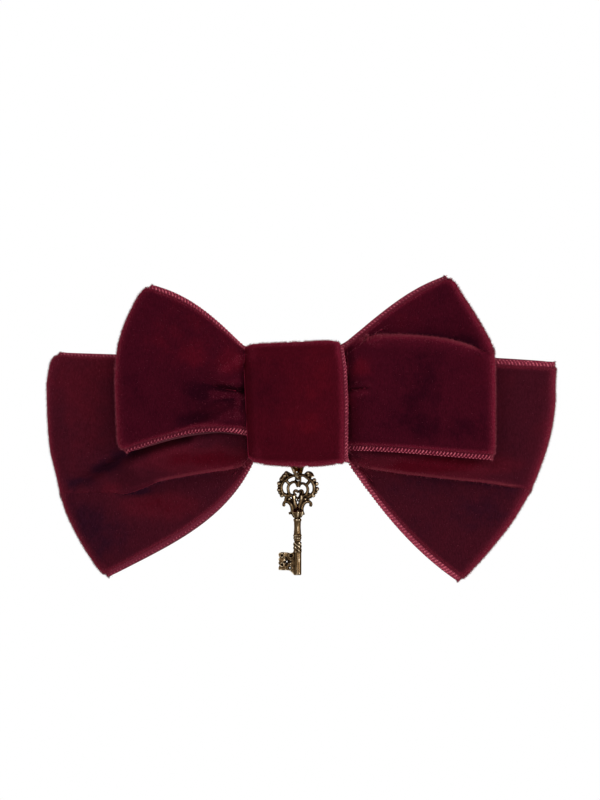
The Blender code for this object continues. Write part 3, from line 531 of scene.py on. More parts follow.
def cloth_layers(middle, edge, fold, ring):
    """Pile side, backing side and normals of a surface, where it is bare, and its open pile with a painted
    sheen.
    """
    along = grid_slope(middle, ring)
    across = np.gradient(middle, axis=1) * 2.0
    normal = unit(np.cross(along, across))
    bend_along = (grid_slope(normal, ring) * along).sum(axis=-1) / (along ** 2).sum(axis=-1)
    bend_across = (np.gradient(normal, axis=1) * 2.0 * across).sum(axis=-1) / (across ** 2).sum(axis=-1)
    bend = soften(np.clip(bend_along, 0.0, 1.0) + np.clip(bend_across, 0.0, 1.0), rounds=4)
    pile = smooth_step((edge - 0.8 * SELVAGE) / (0.4 * SELVAGE))
    # A sheen is painted beside the selvage and where the surface bends, and the painted fold highlights are
    # added.
    beside = BESIDE_SHEEN * hump(edge, 1.25 * SELVAGE, 0.3 * SELVAGE)
    opened_and_sheen = np.clip(BEND_SHEEN * smooth_step((bend - BEND_FROM) / BEND_RANGE) + beside + fold, 0.0, 1.0)
    high = PILE * pile * (PILE_LOW + (1.0 - PILE_LOW) * smooth_step((edge - SELVAGE) / PILE_GROWS))
    face = middle + normal * (high - EDGE_SUNK * (1.0 - pile))[..., None]
    back = middle - normal * (BACKING - EDGE_THIN * (1.0 - pile))[..., None]
    return face, back, normal, 1.0 - pile, opened_and_sheen


# %% Close a ring or a strip of cloth
MAP_UNIT = 10.0


def new_object(name, points, faces):
    """A piece from points in mm."""
    mesh = bpy.data.meshes.new(name)
    mesh.from_pydata(points * MM, [], faces)
    made = bpy.data.objects.new(name, mesh)
    bpy.context.collection.objects.link(made)
    return made


def cloth_mesh(name, middle, edge, tone, fold, ring):
    """A closed sheet in mm with attributes for its selvage and its painted sheen, shade and highlights, and a
    map along it.
    """
    face, back, normal, bare, opened_and_sheen = cloth_layers(middle, edge, fold[..., 0], ring)
    rows, columns = edge.shape
    count = rows * columns
    number = np.arange(count).reshape(rows, columns)
    after = np.roll(number, -1, axis=0) if ring else number[1:]
    here = number if ring else number[:-1]
    quads = np.stack((here[:, :-1], after[:, :-1], after[:, 1:], here[:, 1:]), axis=-1).reshape(-1, 4)
    faces = [quads, quads[:, ::-1] + count]

    def close(first, second):
        faces.append(np.stack((first, first + count, second + count, second), axis=-1))

    close(here[:, 0], after[:, 0])
    close(after[:, -1], here[:, -1])
    if not ring:
        close(number[0, 1:], number[0, :-1])
        close(number[-1, :-1], number[-1, 1:])
    faces = np.concatenate(faces)
    made = new_object(name, np.concatenate((face.reshape(-1, 3), back.reshape(-1, 3))), faces)
    mesh = made.data
    # Attributes: the bare selvage, the open pile with its painted sheen, the tone of painted shade and light,
    # and the painted crest highlight.
    for label, values in (("selvage", bare), ("opened_pile_and_sheen", opened_and_sheen), ("tone", tone), ("crest", fold[..., 1])):
        mesh.attributes.new(label, "FLOAT", "POINT").data.foreach_set("value", np.tile(values.ravel(), 2))
    along = np.tile(run_of(middle).mean(axis=1, keepdims=True), columns)
    flat = np.tile(np.stack((along, run_of(middle, 1)), axis=-1).reshape(-1, 2) / MAP_UNIT, (2, 1))
    corners = np.zeros(len(mesh.loops), int)
    mesh.loops.foreach_get("vertex_index", corners)
    mesh.uv_layers.new(name="ribbon").data.foreach_set("uv", flat[corners].ravel())
    sides = np.zeros(len(faces), int)
    sides[len(quads):2 * len(quads)] = 1
    mesh.polygons.foreach_set("material_index", sides)
    mesh.polygons.foreach_set("use_smooth", np.ones(len(faces), bool))
    return made, face, normal


# %% Tie two loops into a bow
CENTRE_ROWS = 10
CENTRE_GATHERS = 5
GATHER_HALF = 9.9


def centre_rows(start, end):
    """Rows across the pinched centre between two loops, gathered in the knot."""
    across = np.linspace(0.0, 1.0, start.shape[0])
    rows = []
    for share in np.linspace(0.0, 1.0, CENTRE_ROWS + 2)[1:-1]:
        row = start * (1.0 - share) + end * share
        pinch = 4.0 * share * (1.0 - share)
        row[:, 2] = row[:, 2] * (1.0 - pinch) + (across - 0.5) * 2.0 * GATHER_HALF * pinch
        row[:, 1] += pinch * np.cos(2.0 * math.pi * CENTRE_GATHERS * across)
        rows.append(row)
    return np.array(rows)


def bow_ring(name, bow, right, left):
    """One ribbon ring: right loop, back of the centre, left loop, front of the centre."""
    right_loop = loop_rows(right, bow)
    left_loop = [values[::-1] for values in loop_rows(left, bow)]
    edge = np.repeat(right_loop[1][-1:], CENTRE_ROWS, axis=0)
    plain = np.zeros_like(edge)
    unmarked = (edge, plain, np.dstack((plain, plain)))
    behind = (centre_rows(right_loop[0][-1], left_loop[0][0]), *unmarked)
    before = (centre_rows(left_loop[0][-1], right_loop[0][0]), *unmarked)
    parts = [np.concatenate(values) for values in zip(right_loop, behind, left_loop, before)]
    return cloth_mesh(name, *parts, ring=True)


front_bow, front_face, front_normal = bow_ring("front_bow", FRONT_BOW, FRONT_RIGHT, FRONT_LEFT)
rear_bow, rear_face, rear_normal = bow_ring("rear_bow", REAR_BOW, REAR_RIGHT, REAR_LEFT)
print("bow faces:", len(front_bow.data.polygons), len(rear_bow.data.polygons))

# %% [markdown]
# ## The wrap
# The knot is only a narrow velvet ribbon wound once round everything, its tail lapped over at the back.
# It is drawn as its side view, a long round-cornered path, swept across the ribbon's width.
# Its left edge is turned under and its right selvage lies open, as the real one was pulled a little askew.

# %% Draw the wrap's side view
WRAP_FRONT = -19.8
WRAP_BACK = -5.6
WRAP_TAIL = -4.3
WRAP_HALF = 12.6
WRAP_CORNER = 3.0
CORNER_STEPS = 14
PATH_STEP = 0.5
LAP = 4.0


def arc(depth, height, start):
    """Points round a corner as depth and height, a quarter turn from an angle in degrees."""
    angle = np.radians(np.linspace(start, start + 90.0, CORNER_STEPS + 1))
    return np.column_stack((depth + WRAP_CORNER * np.cos(angle), height + WRAP_CORNER * np.sin(angle)))


def straight(start, end):
    """Points a step apart between two points, without its ends."""
    steps = int(np.linalg.norm(np.subtract(end, start)) / PATH_STEP)
    share = np.linspace(0.0, 1.0, steps + 1)[1:-1, None]
    return np.array(start) * (1.0 - share) + np.array(end) * share


def wrap_path():
    """The wrap's side view, from under its tail over the top, down the front and up the back."""
    inside = WRAP_HALF - WRAP_CORNER
    corners = [
        arc(WRAP_BACK - WRAP_CORNER, inside, 0.0),
        arc(WRAP_FRONT + WRAP_CORNER, inside, 90.0),
        arc(WRAP_FRONT + WRAP_CORNER, -inside, 180.0),
        arc(WRAP_TAIL - WRAP_CORNER, -inside, 270.0),
        np.array([(WRAP_TAIL, LAP)]),
    ]
    path = [np.array([(WRAP_BACK, -LAP)])]
    for piece in corners:
        path += [straight(path[-1][-1], piece[0]), piece]
    return np.concatenate(path)


# %% Wind the wrap round the knot
CLIP_ARCH, ARCH_HALF = 6.0, 34.0
AHEAD_FROM, AHEAD_OVER = -10.0, 7.0
LEFT_UNDER, LEFT_REACH = 1.8, 2.3
RIGHT_UNDER, RIGHT_REACH = 1.2, 2.2
CORNER_REACH = 3.4
WRAP_SWELL = 0.5
WRAP_SAG, WRAP_LIFT = 0.9, 0.7
WRAP_TILT = 0.5
LEFT_ROUND, RIGHT_ROUND_TOP, RIGHT_ROUND_LOW = 0.7, 0.9, -0.6
TUCK, TUCK_FROM, TUCK_OVER = 0.5, 6.0, 7.0
RIGHT_LEAN = 1.2
SELVAGE_WIDER = 0.6
# A highlight is painted where the wrap turns over at its top and bottom edges.
BROW_TOP, BROW_LOW, BROW_REACH = 0.5, 0.8, 1.1
# Patches of shade and light painted on the wrap's front: middle, reach and amount.
WRAP_PAINTED_LIGHT = [
    ((1.0, -4.5), (5.0, 3.0), 1.0), ((4.5, 3.0), (3.0, 8.0), 0.5), ((-7.0, 2.0), (3.0, 8.0), -0.5),
]


def plate_arch(x):
    """How far the clip's arched plate has bent back at x."""
    return CLIP_ARCH * (x / ARCH_HALF) ** 2


def wrap_surface():
    """The wrap's middle surface in mm, each point's distance from the edge, painted shade and light, painted
    highlights.
    """
    path = wrap_path()
    share, _ = across_ribbon(np.full(len(path), WRAP_WIDTH), np.full(len(path), 0.5))
    x = (share - 0.5) * WRAP_WIDTH
    depth = path[:, :1]
    height = path[:, 1:]
    upper = height > 0.0
    from_right = WRAP_WIDTH / 2 - x
    swell = 1.0 - (2.0 * x / WRAP_WIDTH) ** 2
    ahead = smooth_step((AHEAD_FROM - depth) / AHEAD_OVER)
    left = near_edge(x + WRAP_WIDTH / 2, LEFT_REACH)
    right = near_edge(from_right, RIGHT_REACH)
    under = LEFT_UNDER * left + RIGHT_UNDER * right - WRAP_SWELL * swell
    y = depth + plate_arch(x) * (1.0 - ahead) + under * ahead
    sag = (WRAP_SAG * swell - WRAP_LIFT) * np.clip(-height / WRAP_HALF, 0.0, 1.0) ** 2
    tilt = WRAP_TILT * x / WRAP_WIDTH * 2.0 * np.clip(height / WRAP_HALF, 0.0, 1.0)
    corner = np.where(upper, RIGHT_ROUND_TOP, RIGHT_ROUND_LOW) * near_edge(from_right, CORNER_REACH)
    rounded = (LEFT_ROUND * left + corner) * np.clip(height / WRAP_HALF, -1.0, 1.0) ** 5
    rightmost = np.clip(2.0 * x / WRAP_WIDTH, 0.0, 1.0)
    tuck = TUCK * smooth_step((height - TUCK_FROM) / TUCK_OVER) * rightmost ** 4
    lean = KNOT_LEAN * height * np.where(height < 0.0, 1.0 - RIGHT_LEAN * rightmost, 1.0)
    middle = np.dstack((x - lean - tuck, y, height - sag + tilt - rounded))
    edge = edge_distance(middle)
    edge = np.minimum(edge, SELVAGE) + SELVAGE_WIDER * np.clip(edge - SELVAGE, 0.0, None)
    edge = np.where(x < 0.0, WRAP_WIDTH, edge)
    # Shade and light painted on the wrap's front from the listed patches.
    tone = painted_shade_and_light(middle[..., [0, 2]], WRAP_PAINTED_LIGHT) * ahead
    # The highlight painted where the wrap turns over at the top and the bottom.
    turn_highlight = np.where(upper, BROW_TOP, BROW_LOW) * np.ones_like(x)
    turn_highlight = turn_highlight * smooth_step((np.abs(height) - WRAP_HALF + BROW_REACH) / BROW_REACH)
    return middle, edge, tone, np.dstack((turn_highlight, np.zeros_like(x)))


centre_wrap, wrap_face, wrap_normal = cloth_mesh("wrap", *wrap_surface(), ring=False)
print("wrap faces:", len(centre_wrap.data.polygons))

# %% [markdown]
# ## Loose pile
# Where velvet bends over an edge its pile stands out against the light and softens the outline.
# Thousands of single fibres do that here, most of them where the pile opens.

# %% Grow fibres where the pile opens
FIBRE_WIDE = 0.040
FIBRE_LONG = (0.2, 0.6)
FIBRE_LEAN = 0.45
FIBRE_SUNK = 0.08
STRAY = 0.004


def loose_pile(name, made, face, normal, count, seed):
    """Short fibres on the open parts of a ribbon, one triangle each."""
    random = np.random.default_rng(seed)
    opened_and_sheen = np.zeros(len(made.data.vertices))
    made.data.attributes["opened_pile_and_sheen"].data.foreach_get("value", opened_and_sheen)
    rows, columns = face.shape[:2]
    weight = opened_and_sheen[:rows * columns] ** 1.5 + STRAY
    chosen = random.choice(rows * columns, count, p=weight / weight.sum())
    row, column = np.divmod(chosen, columns)
    step_row = face[(row + 1) % rows, column] - face[row, column]
    step_column = face[row, np.minimum(column + 1, columns - 1)] - face[row, column]
    shift = random.uniform(-0.5, 0.5, (count, 2))
    base = face[row, column] + step_row * shift[:, :1] + step_column * shift[:, 1:]
    lean = unit(normal[row, column] + random.normal(0.0, FIBRE_LEAN, (count, 3)))
    wide = unit(np.cross(lean, random.normal(0.0, 1.0, (count, 3)))) * FIBRE_WIDE / 2
    long = lean * random.uniform(*FIBRE_LONG, (count, 1))
    sunk = normal[row, column] * FIBRE_SUNK
    points = np.stack((base - sunk - wide, base - sunk + wide, base + long), axis=1).reshape(-1, 3)
    return new_object(name, points, np.arange(count * 3).reshape(-1, 3))


front_fibres = loose_pile("front_loose_pile", front_bow, front_face, front_normal, count=30000, seed=3)
rear_fibres = loose_pile("rear_loose_pile", rear_bow, rear_face, rear_normal, count=36000, seed=4)
wrap_fibres = loose_pile("wrap_loose_pile", centre_wrap, wrap_face, wrap_normal, count=12000, seed=5)
print("loose fibres:", sum(len(piece.data.polygons) for piece in (front_fibres, rear_fibres, wrap_fibres)))

# %% [markdown]
# ## Selvage stitches
# Along every edge of the ribbon runs a row of slanted pink stitches with a small loop outside each one.
# A bump map could hint at them, but they make the outline, so one stitch is modelled and copied along.

# %% Model one stitch
BAR_SIZE = (0.17, 0.56, 0.22)
BAR_SLANT = math.radians(28.0)
BEAD_SIZE = (0.22, 0.14, 0.22)
BEAD_PLACE = (0.26, -0.48, 0.0)


def stitch_shape():
    """One slanted bar and its outer bead in mm: x along the edge, y into the ribbon, z out of it."""
    bpy.ops.object.select_all(action="DESELECT")
    bpy.ops.mesh.primitive_uv_sphere_add(segments=6, ring_count=4, radius=1.0)
    bar = bpy.context.object
    bpy.ops.object.mode_set(mode="EDIT")
    bpy.ops.mesh.select_all(action="SELECT")
    bpy.ops.transform.resize(value=BAR_SIZE)
    bpy.ops.transform.rotate(value=BAR_SLANT, orient_axis="Z", center_override=(0.0, 0.0, 0.0))
    bpy.ops.mesh.select_all(action="DESELECT")
    bpy.ops.mesh.primitive_uv_sphere_add(segments=6, ring_count=3, radius=1.0)
    bpy.ops.transform.resize(value=BEAD_SIZE)
    bpy.ops.transform.translate(value=BEAD_PLACE)
    bpy.ops.object.mode_set(mode="OBJECT")
    points = np.array([vert.co for vert in bar.data.vertices])
    faces = [list(face.vertices) for face in bar.data.polygons]
    bpy.data.objects.remove(bar)
    return points, faces


stitch_points, stitch_faces = stitch_shape()
print("faces in one stitch:", len(stitch_faces))

# %% Copy it along the edges
STITCH_PITCH = 0.76
STITCH_INSET = 0.64
STITCH_SUNK = 0.10
KNOT_ROWS = 26


def only(made):
    """Selects one object alone and makes it active."""
    bpy.ops.object.select_all(action="DESELECT")
    made.select_set(True)
    bpy.context.view_layer.objects.active = made


def even_places(line, extra, pitch, ring):
    """Places a pitch apart along a line, with other vectors carried along it."""
    if ring:
        line, *extra = [np.concatenate((vectors, vectors[:1])) for vectors in (line, *extra)]
    run = run_of(line)
    at = np.arange(0.5 * pitch, run[-1], pitch)
    return [along_line(at, run, vectors) for vectors in (line, np.gradient(line, axis=0), *extra)]


def inset_line(face, way, sizes):
    """Points at the stitches' distance in from one edge of a ribbon, one for each row."""
    strip = face[:, ::way][:, :len(EDGE_STEPS)]
    rows = zip(STITCH_INSET * sizes, run_of(strip, 1), strip)
    return np.array([along_line(inset, run, row) for inset, run, row in rows])


def row_sizes(right, left, knot, count):
    """A stitch size for each row of a ring: right loop, left loop and the left loop's end at the knot."""
    rows = count // 2 - CENTRE_ROWS
    change = np.linspace(right, left, CENTRE_ROWS)
    growing = np.interp(np.arange(rows), (rows - KNOT_ROWS, rows), (left, knot))
    return np.concatenate((np.full(rows, right), change, growing, np.linspace(knot, right, CENTRE_ROWS)))


def both_edges(right, left, knot, count):
    """The low and the top edge of a ring: which way its columns run, the slant and the size in each row."""
    low = row_sizes(right["stitch"][0], left["stitch"][0], knot, count)
    top = row_sizes(right["stitch"][1], left["stitch"][1], left["stitch"][1], count)
    return ((1, 1.0, low), (-1, -1.0, top))


def selvage_stitches(name, face, normal, edges, ring):
    """The stitches along the given edges of one ribbon, as one piece."""
    points = []
    for way, slant, sizes in edges:
        line = inset_line(face, way, sizes)
        carried = [normal[:, ::way][:, 2], np.repeat(sizes[:, None], 3, axis=1)]
        place, tangent, out, size = even_places(line, carried, STITCH_PITCH, ring)
        tangent = unit(tangent)
        out = unit(out)
        inward = unit(np.cross(out, tangent)) * slant
        x, y, z = stitch_points.T
        shape = tangent[:, None] * x[:, None] + inward[:, None] * y[:, None] + out[:, None] * z[:, None]
        points.append((place[:, None] - out[:, None] * STITCH_SUNK + shape * size[:, None]).reshape(-1, 3))
    points = np.concatenate(points)
    faces = []
    for first in range(0, len(points), len(stitch_points)):
        faces += [[first + i for i in face] for face in stitch_faces]
    made = new_object(name, points, faces)
    only(made)
    bpy.ops.object.shade_smooth()
    bpy.ops.object.mode_set(mode="EDIT")
    bpy.ops.mesh.select_all(action="SELECT")
    bpy.ops.mesh.normals_make_consistent(inside=False)
    bpy.ops.object.mode_set(mode="OBJECT")
    return made


front_edges = both_edges(FRONT_RIGHT, FRONT_LEFT, knot=1.5, count=len(front_face))
rear_edges = both_edges(REAR_RIGHT, REAR_LEFT, knot=0.9, count=len(rear_face))
wrap_edges = ((-1, -1.0, np.ones(len(wrap_face))),)
front_selvage = selvage_stitches("front_selvage", front_face, front_normal, front_edges, ring=True)
rear_selvage = selvage_stitches("rear_selvage", rear_face, rear_normal, rear_edges, ring=True)
wrap_selvage = selvage_stitches("wrap_selvage", wrap_face, wrap_normal, wrap_edges, ring=False)
print("selvage faces:", len(front_selvage.data.polygons), len(rear_selvage.data.polygons))

# %% [markdown]
# ## Velvet
# Velvet is dark where one looks into the pile and bright where one looks across it, at every fold.
# The shader's own sheen does that; a node group adds painted shade and light, painted sheen and highlights,
# and the random tone and fine grain of the pile.


# %% Node helpers
class Tree:
    """Adds nodes to a node tree. Each way of adding one gives the output with its result."""

    def __init__(self, tree):
        self.nodes = tree.nodes
        self.links = tree.links

    def feed(self, node, values):
        """Sets a node's inputs to numbers, vectors or colours, or links them to outputs."""
        for key, value in values.items():
            socket = node.inputs[key]
            if isinstance(value, tuple):
                socket.default_value = (*value, 1.0)[:len(socket.default_value)]
            elif isinstance(value, (int, float)):
                socket.default_value = value
            else:
                self.links.new(value, socket)

    def add(self, kind, values=None, **settings):
        made = self.nodes.new("ShaderNode" + kind)
        for name, setting in settings.items():
            setattr(made, name, setting)
        self.feed(made, values or {})
        return made.outputs

    def attribute(self, name):
        return self.add("Attribute", attribute_name=name)["Fac"]

    def place(self, scale=None):
        """Object coordinates, stretched if a scale is given."""
        own = self.add("TexCoord")["Object"]
        return self.add("Mapping", {"Vector": own, "Scale": scale})["Vector"] if scale else own

    def noise(self, source, scale, detail, roughness=0.55):
        inputs = {"Vector": source, "Scale": scale, "Detail": detail, "Roughness": roughness}
        return self.add("TexNoise", inputs)["Fac"]

    def ranged(self, value, low, high, to_low=0.0, to_high=1.0):
        inputs = {"Value": value, "From Min": low, "From Max": high, "To Min": to_low, "To Max": to_high}
        return self.add("MapRange", inputs, interpolation_type="SMOOTHSTEP")["Result"]

    def math(self, kind, *values):
        return self.add("Math", dict(enumerate(values)), operation=kind)[0]

    def mix(self, share, first, second):
        return self.add("Mix", {0: share, 6: first, 7: second}, data_type="RGBA")[2]

    def bump(self, height, strength, distance):
        return self.add("Bump", {"Height": height, "Strength": strength, "Distance": distance})["Normal"]


def new_material(name):
    """A material with its tree and its shader."""
    made = bpy.data.materials.new(name)
    made.use_nodes = True
    return made, Tree(made.node_tree), made.node_tree.nodes["Principled BSDF"]


# %% The pile group
PILE_COLOURS = ("Dark", "Middle", "Light", "Painted_highlight", "Open_sheen", "Line")
SELVAGE_DARK = (0.10, 0.010, 0.022)
SELVAGE_PALE = (0.30, 0.042, 0.076)
# The colour of the highlight painted along pleat crests.
CREST_HIGHLIGHT = (0.22, 0.032, 0.048)


def pile_group():
    """Painted shade, light, sheen and crest highlights, with random tone and grain, for a velvet."""
    group = bpy.data.node_groups.new("velvet_pile", "ShaderNodeTree")
    for name in PILE_COLOURS:
        group.interface.new_socket(name, in_out="INPUT", socket_type="NodeSocketColor")
    group.interface.new_socket("Colour", in_out="OUTPUT", socket_type="NodeSocketColor")
    group.interface.new_socket("Height", in_out="OUTPUT", socket_type="NodeSocketFloat")
    tree = Tree(group)
    given = tree.nodes.new("NodeGroupInput").outputs
    result = tree.nodes.new("NodeGroupOutput")
    place = tree.place()
    broad = tree.noise(place, scale=75.0, detail=2.0)
    patch = tree.noise(place, scale=330.0, detail=4.0, roughness=0.65)
    grain = tree.noise(tree.place((1.0, 1.0, 0.35)), scale=4200.0, detail=2.0, roughness=0.75)
    # Random tone from noise, plus shade and light painted through the tone attribute.
    tone_and_painted_light = tree.math("MULTIPLY_ADD", tree.attribute("tone"), 0.40, 0.5)
    tone_and_painted_light = tree.math("ADD", tone_and_painted_light, tree.ranged(broad, 0.25, 0.75, -0.15, 0.15))
    tone_and_painted_light = tree.math("ADD", tone_and_painted_light, tree.ranged(patch, 0.25, 0.75, -0.13, 0.13))
    laid = tree.mix(tree.ranged(tone_and_painted_light, 0.0, 0.5), given["Dark"], given["Middle"])
    laid = tree.mix(tree.ranged(tone_and_painted_light, 0.5, 1.0), laid, given["Light"])
    laid = tree.mix(tree.ranged(tone_and_painted_light, 1.0, 1.5), laid, given["Painted_highlight"])
    laid = tree.mix(tree.attribute("opened_pile_and_sheen"), laid, given["Open_sheen"])
    laid = tree.mix(tree.attribute("crest"), laid, given["Line"])
    fine = tree.ranged(grain, 0.3, 0.7, 0.80, 1.18)
    tinted = tree.add("VectorMath", {0: laid, "Scale": fine}, operation="SCALE")["Vector"]
    height = tree.math("ADD", tree.math("MULTIPLY", patch, 0.8), tree.math("MULTIPLY", grain, 0.25))
    tree.feed(result, {"Colour": tinted, "Height": height})
    return group


def bare_edge(tree, pile):
    """The woven selvage where its attribute says, paler as its tone says, and the pile elsewhere."""
    woven = tree.mix(tree.ranged(tree.attribute("tone"), -1.0, 1.0), SELVAGE_DARK, SELVAGE_PALE)
    return tree.mix(tree.attribute("selvage"), pile, woven)


PILE_GROUP = pile_group()
print("nodes in the pile group:", len(PILE_GROUP.nodes))


# %% Three velvets
def velvet(name, tint, *colours):
    """A velvet from the pile group with a bare selvage, its colours in the group's order."""
    made, tree, shader = new_material(name)
    pile = tree.add("Group", node_tree=PILE_GROUP)
    tree.feed(pile["Colour"].node, dict(zip(PILE_COLOURS, (*colours, CREST_HIGHLIGHT))))
    tree.feed(shader, {
        "Base Color": bare_edge(tree, pile["Colour"]),
        "Normal": tree.bump(pile["Height"], strength=0.35, distance=0.0004),
        "Roughness": 0.9, "Specular IOR Level": 0.0,
        "Sheen Weight": 0.8, "Sheen Roughness": 0.22, "Sheen Tint": tint,
    })
    return made


# Colours in the group's order: dark, middle and light for random tone and painted shade and light, then the
# painted highlight and the open pile's painted sheen.
BOW_VELVET = velvet(
    "bow_velvet", (0.60, 0.04, 0.10),
    (0.026, 0.0024, 0.0076), (0.056, 0.0040, 0.0114), (0.088, 0.0044, 0.0122), (0.104, 0.0040, 0.0108),
    (0.270, 0.0180, 0.0450),
)
REAR_VELVET = velvet(
    "rear_bow_velvet", (0.60, 0.05, 0.12),
    (0.030, 0.0054, 0.0140), (0.058, 0.0066, 0.0140), (0.084, 0.0070, 0.0148), (0.078, 0.0030, 0.0086),
    (0.270, 0.0220, 0.0480),
)
WRAP_VELVET = velvet(
    "wrap_velvet", (0.60, 0.04, 0.10),
    (0.042, 0.0029, 0.0084), (0.070, 0.0037, 0.0098), (0.098, 0.0041, 0.0104), (0.104, 0.0036, 0.0096),
    (0.270, 0.0180, 0.0450),
)
print("velvets made:", BOW_VELVET.name, REAR_VELVET.name, WRAP_VELVET.name)


# %% Backing and stitch thread
def backing():
    """The ribbon's plain woven reverse, a fine grid of threads along the ribbon."""
    made, tree, shader = new_material("ribbon_backing")
    wave = {"Vector": tree.add("UVMap", uv_map="ribbon")["UV"], "Scale": 11.0}
    threads = [tree.add("TexWave", wave, bands_direction=way)["Fac"] for way in ("X", "Y")]
    woven = tree.math("MAXIMUM", *threads)
    cloth = tree.mix(woven, (0.022, 0.0022, 0.006), (0.060, 0.0060, 0.015))
    tree.feed(shader, {
        "Base Color": bare_edge(tree, cloth), "Normal": tree.bump(woven, strength=0.4, distance=0.0001),
        "Roughness": 0.55, "Specular IOR Level": 0.3,
    })
    return made


def thread_material(name, dark, light):
    """Twisted thread: two tones in fine strokes, a soft gloss."""
    made, tree, shader = new_material(name)
    strands = tree.noise(tree.place(), scale=2600.0, detail=2.0)
    tree.feed(shader, {
        "Base Color": tree.mix(tree.ranged(strands, 0.38, 0.62), dark, light),
        "Normal": tree.bump(strands, strength=0.3, distance=0.0001),
        "Roughness": 0.6, "Specular IOR Level": 0.1,
    })
    return made


RIBBON_BACKING = backing()
LOOSE_PILE = thread_material("loose_pile", dark=(0.18, 0.018, 0.036), light=(0.44, 0.080, 0.120))
SELVAGE_THREAD = thread_material("selvage_thread", dark=(0.36, 0.042, 0.082), light=(0.76, 0.155, 0.215))
print("threads made:", LOOSE_PILE.name, SELVAGE_THREAD.name)

# %% Dress the ribbons
for piece, velvet_look, node, slot in (
    (front_bow, BOW_VELVET, "front_bow_ribbon", "bow_velvet"),
    (rear_bow, REAR_VELVET, "rear_bow_ribbon", "bow_velvet"),
    (centre_wrap, WRAP_VELVET, "centre_wrap", "wrap_velvet"),
):
    piece.data.materials.append(velvet_look)
    piece.data.materials.append(RIBBON_BACKING)
    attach(piece, "bow")
    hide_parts(node)
for piece in (front_selvage, rear_selvage, wrap_selvage):
    piece.data.materials.append(SELVAGE_THREAD)
    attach(piece, "bow")
for piece, slot in ((front_fibres, "bow_velvet"), (rear_fibres, "bow_velvet"), (wrap_fibres, "wrap_velvet")):
    piece.data.materials.append(LOOSE_PILE)
    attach(piece, "bow")
print("ribbons dressed:", front_bow.name, rear_bow.name, centre_wrap.name)

# %% [markdown]
# ## The key charm
# A small casting in antique bronze: a scrolled handle, a turned stem with a twisted collar, a pierced bit.
# Its maker would carve the scrolls in wax. Here each scroll is a drawn strand with a thickness, the stem is
# pulled up ring by ring, the bit is a flat drawing with holes, and all are fused like the casting.

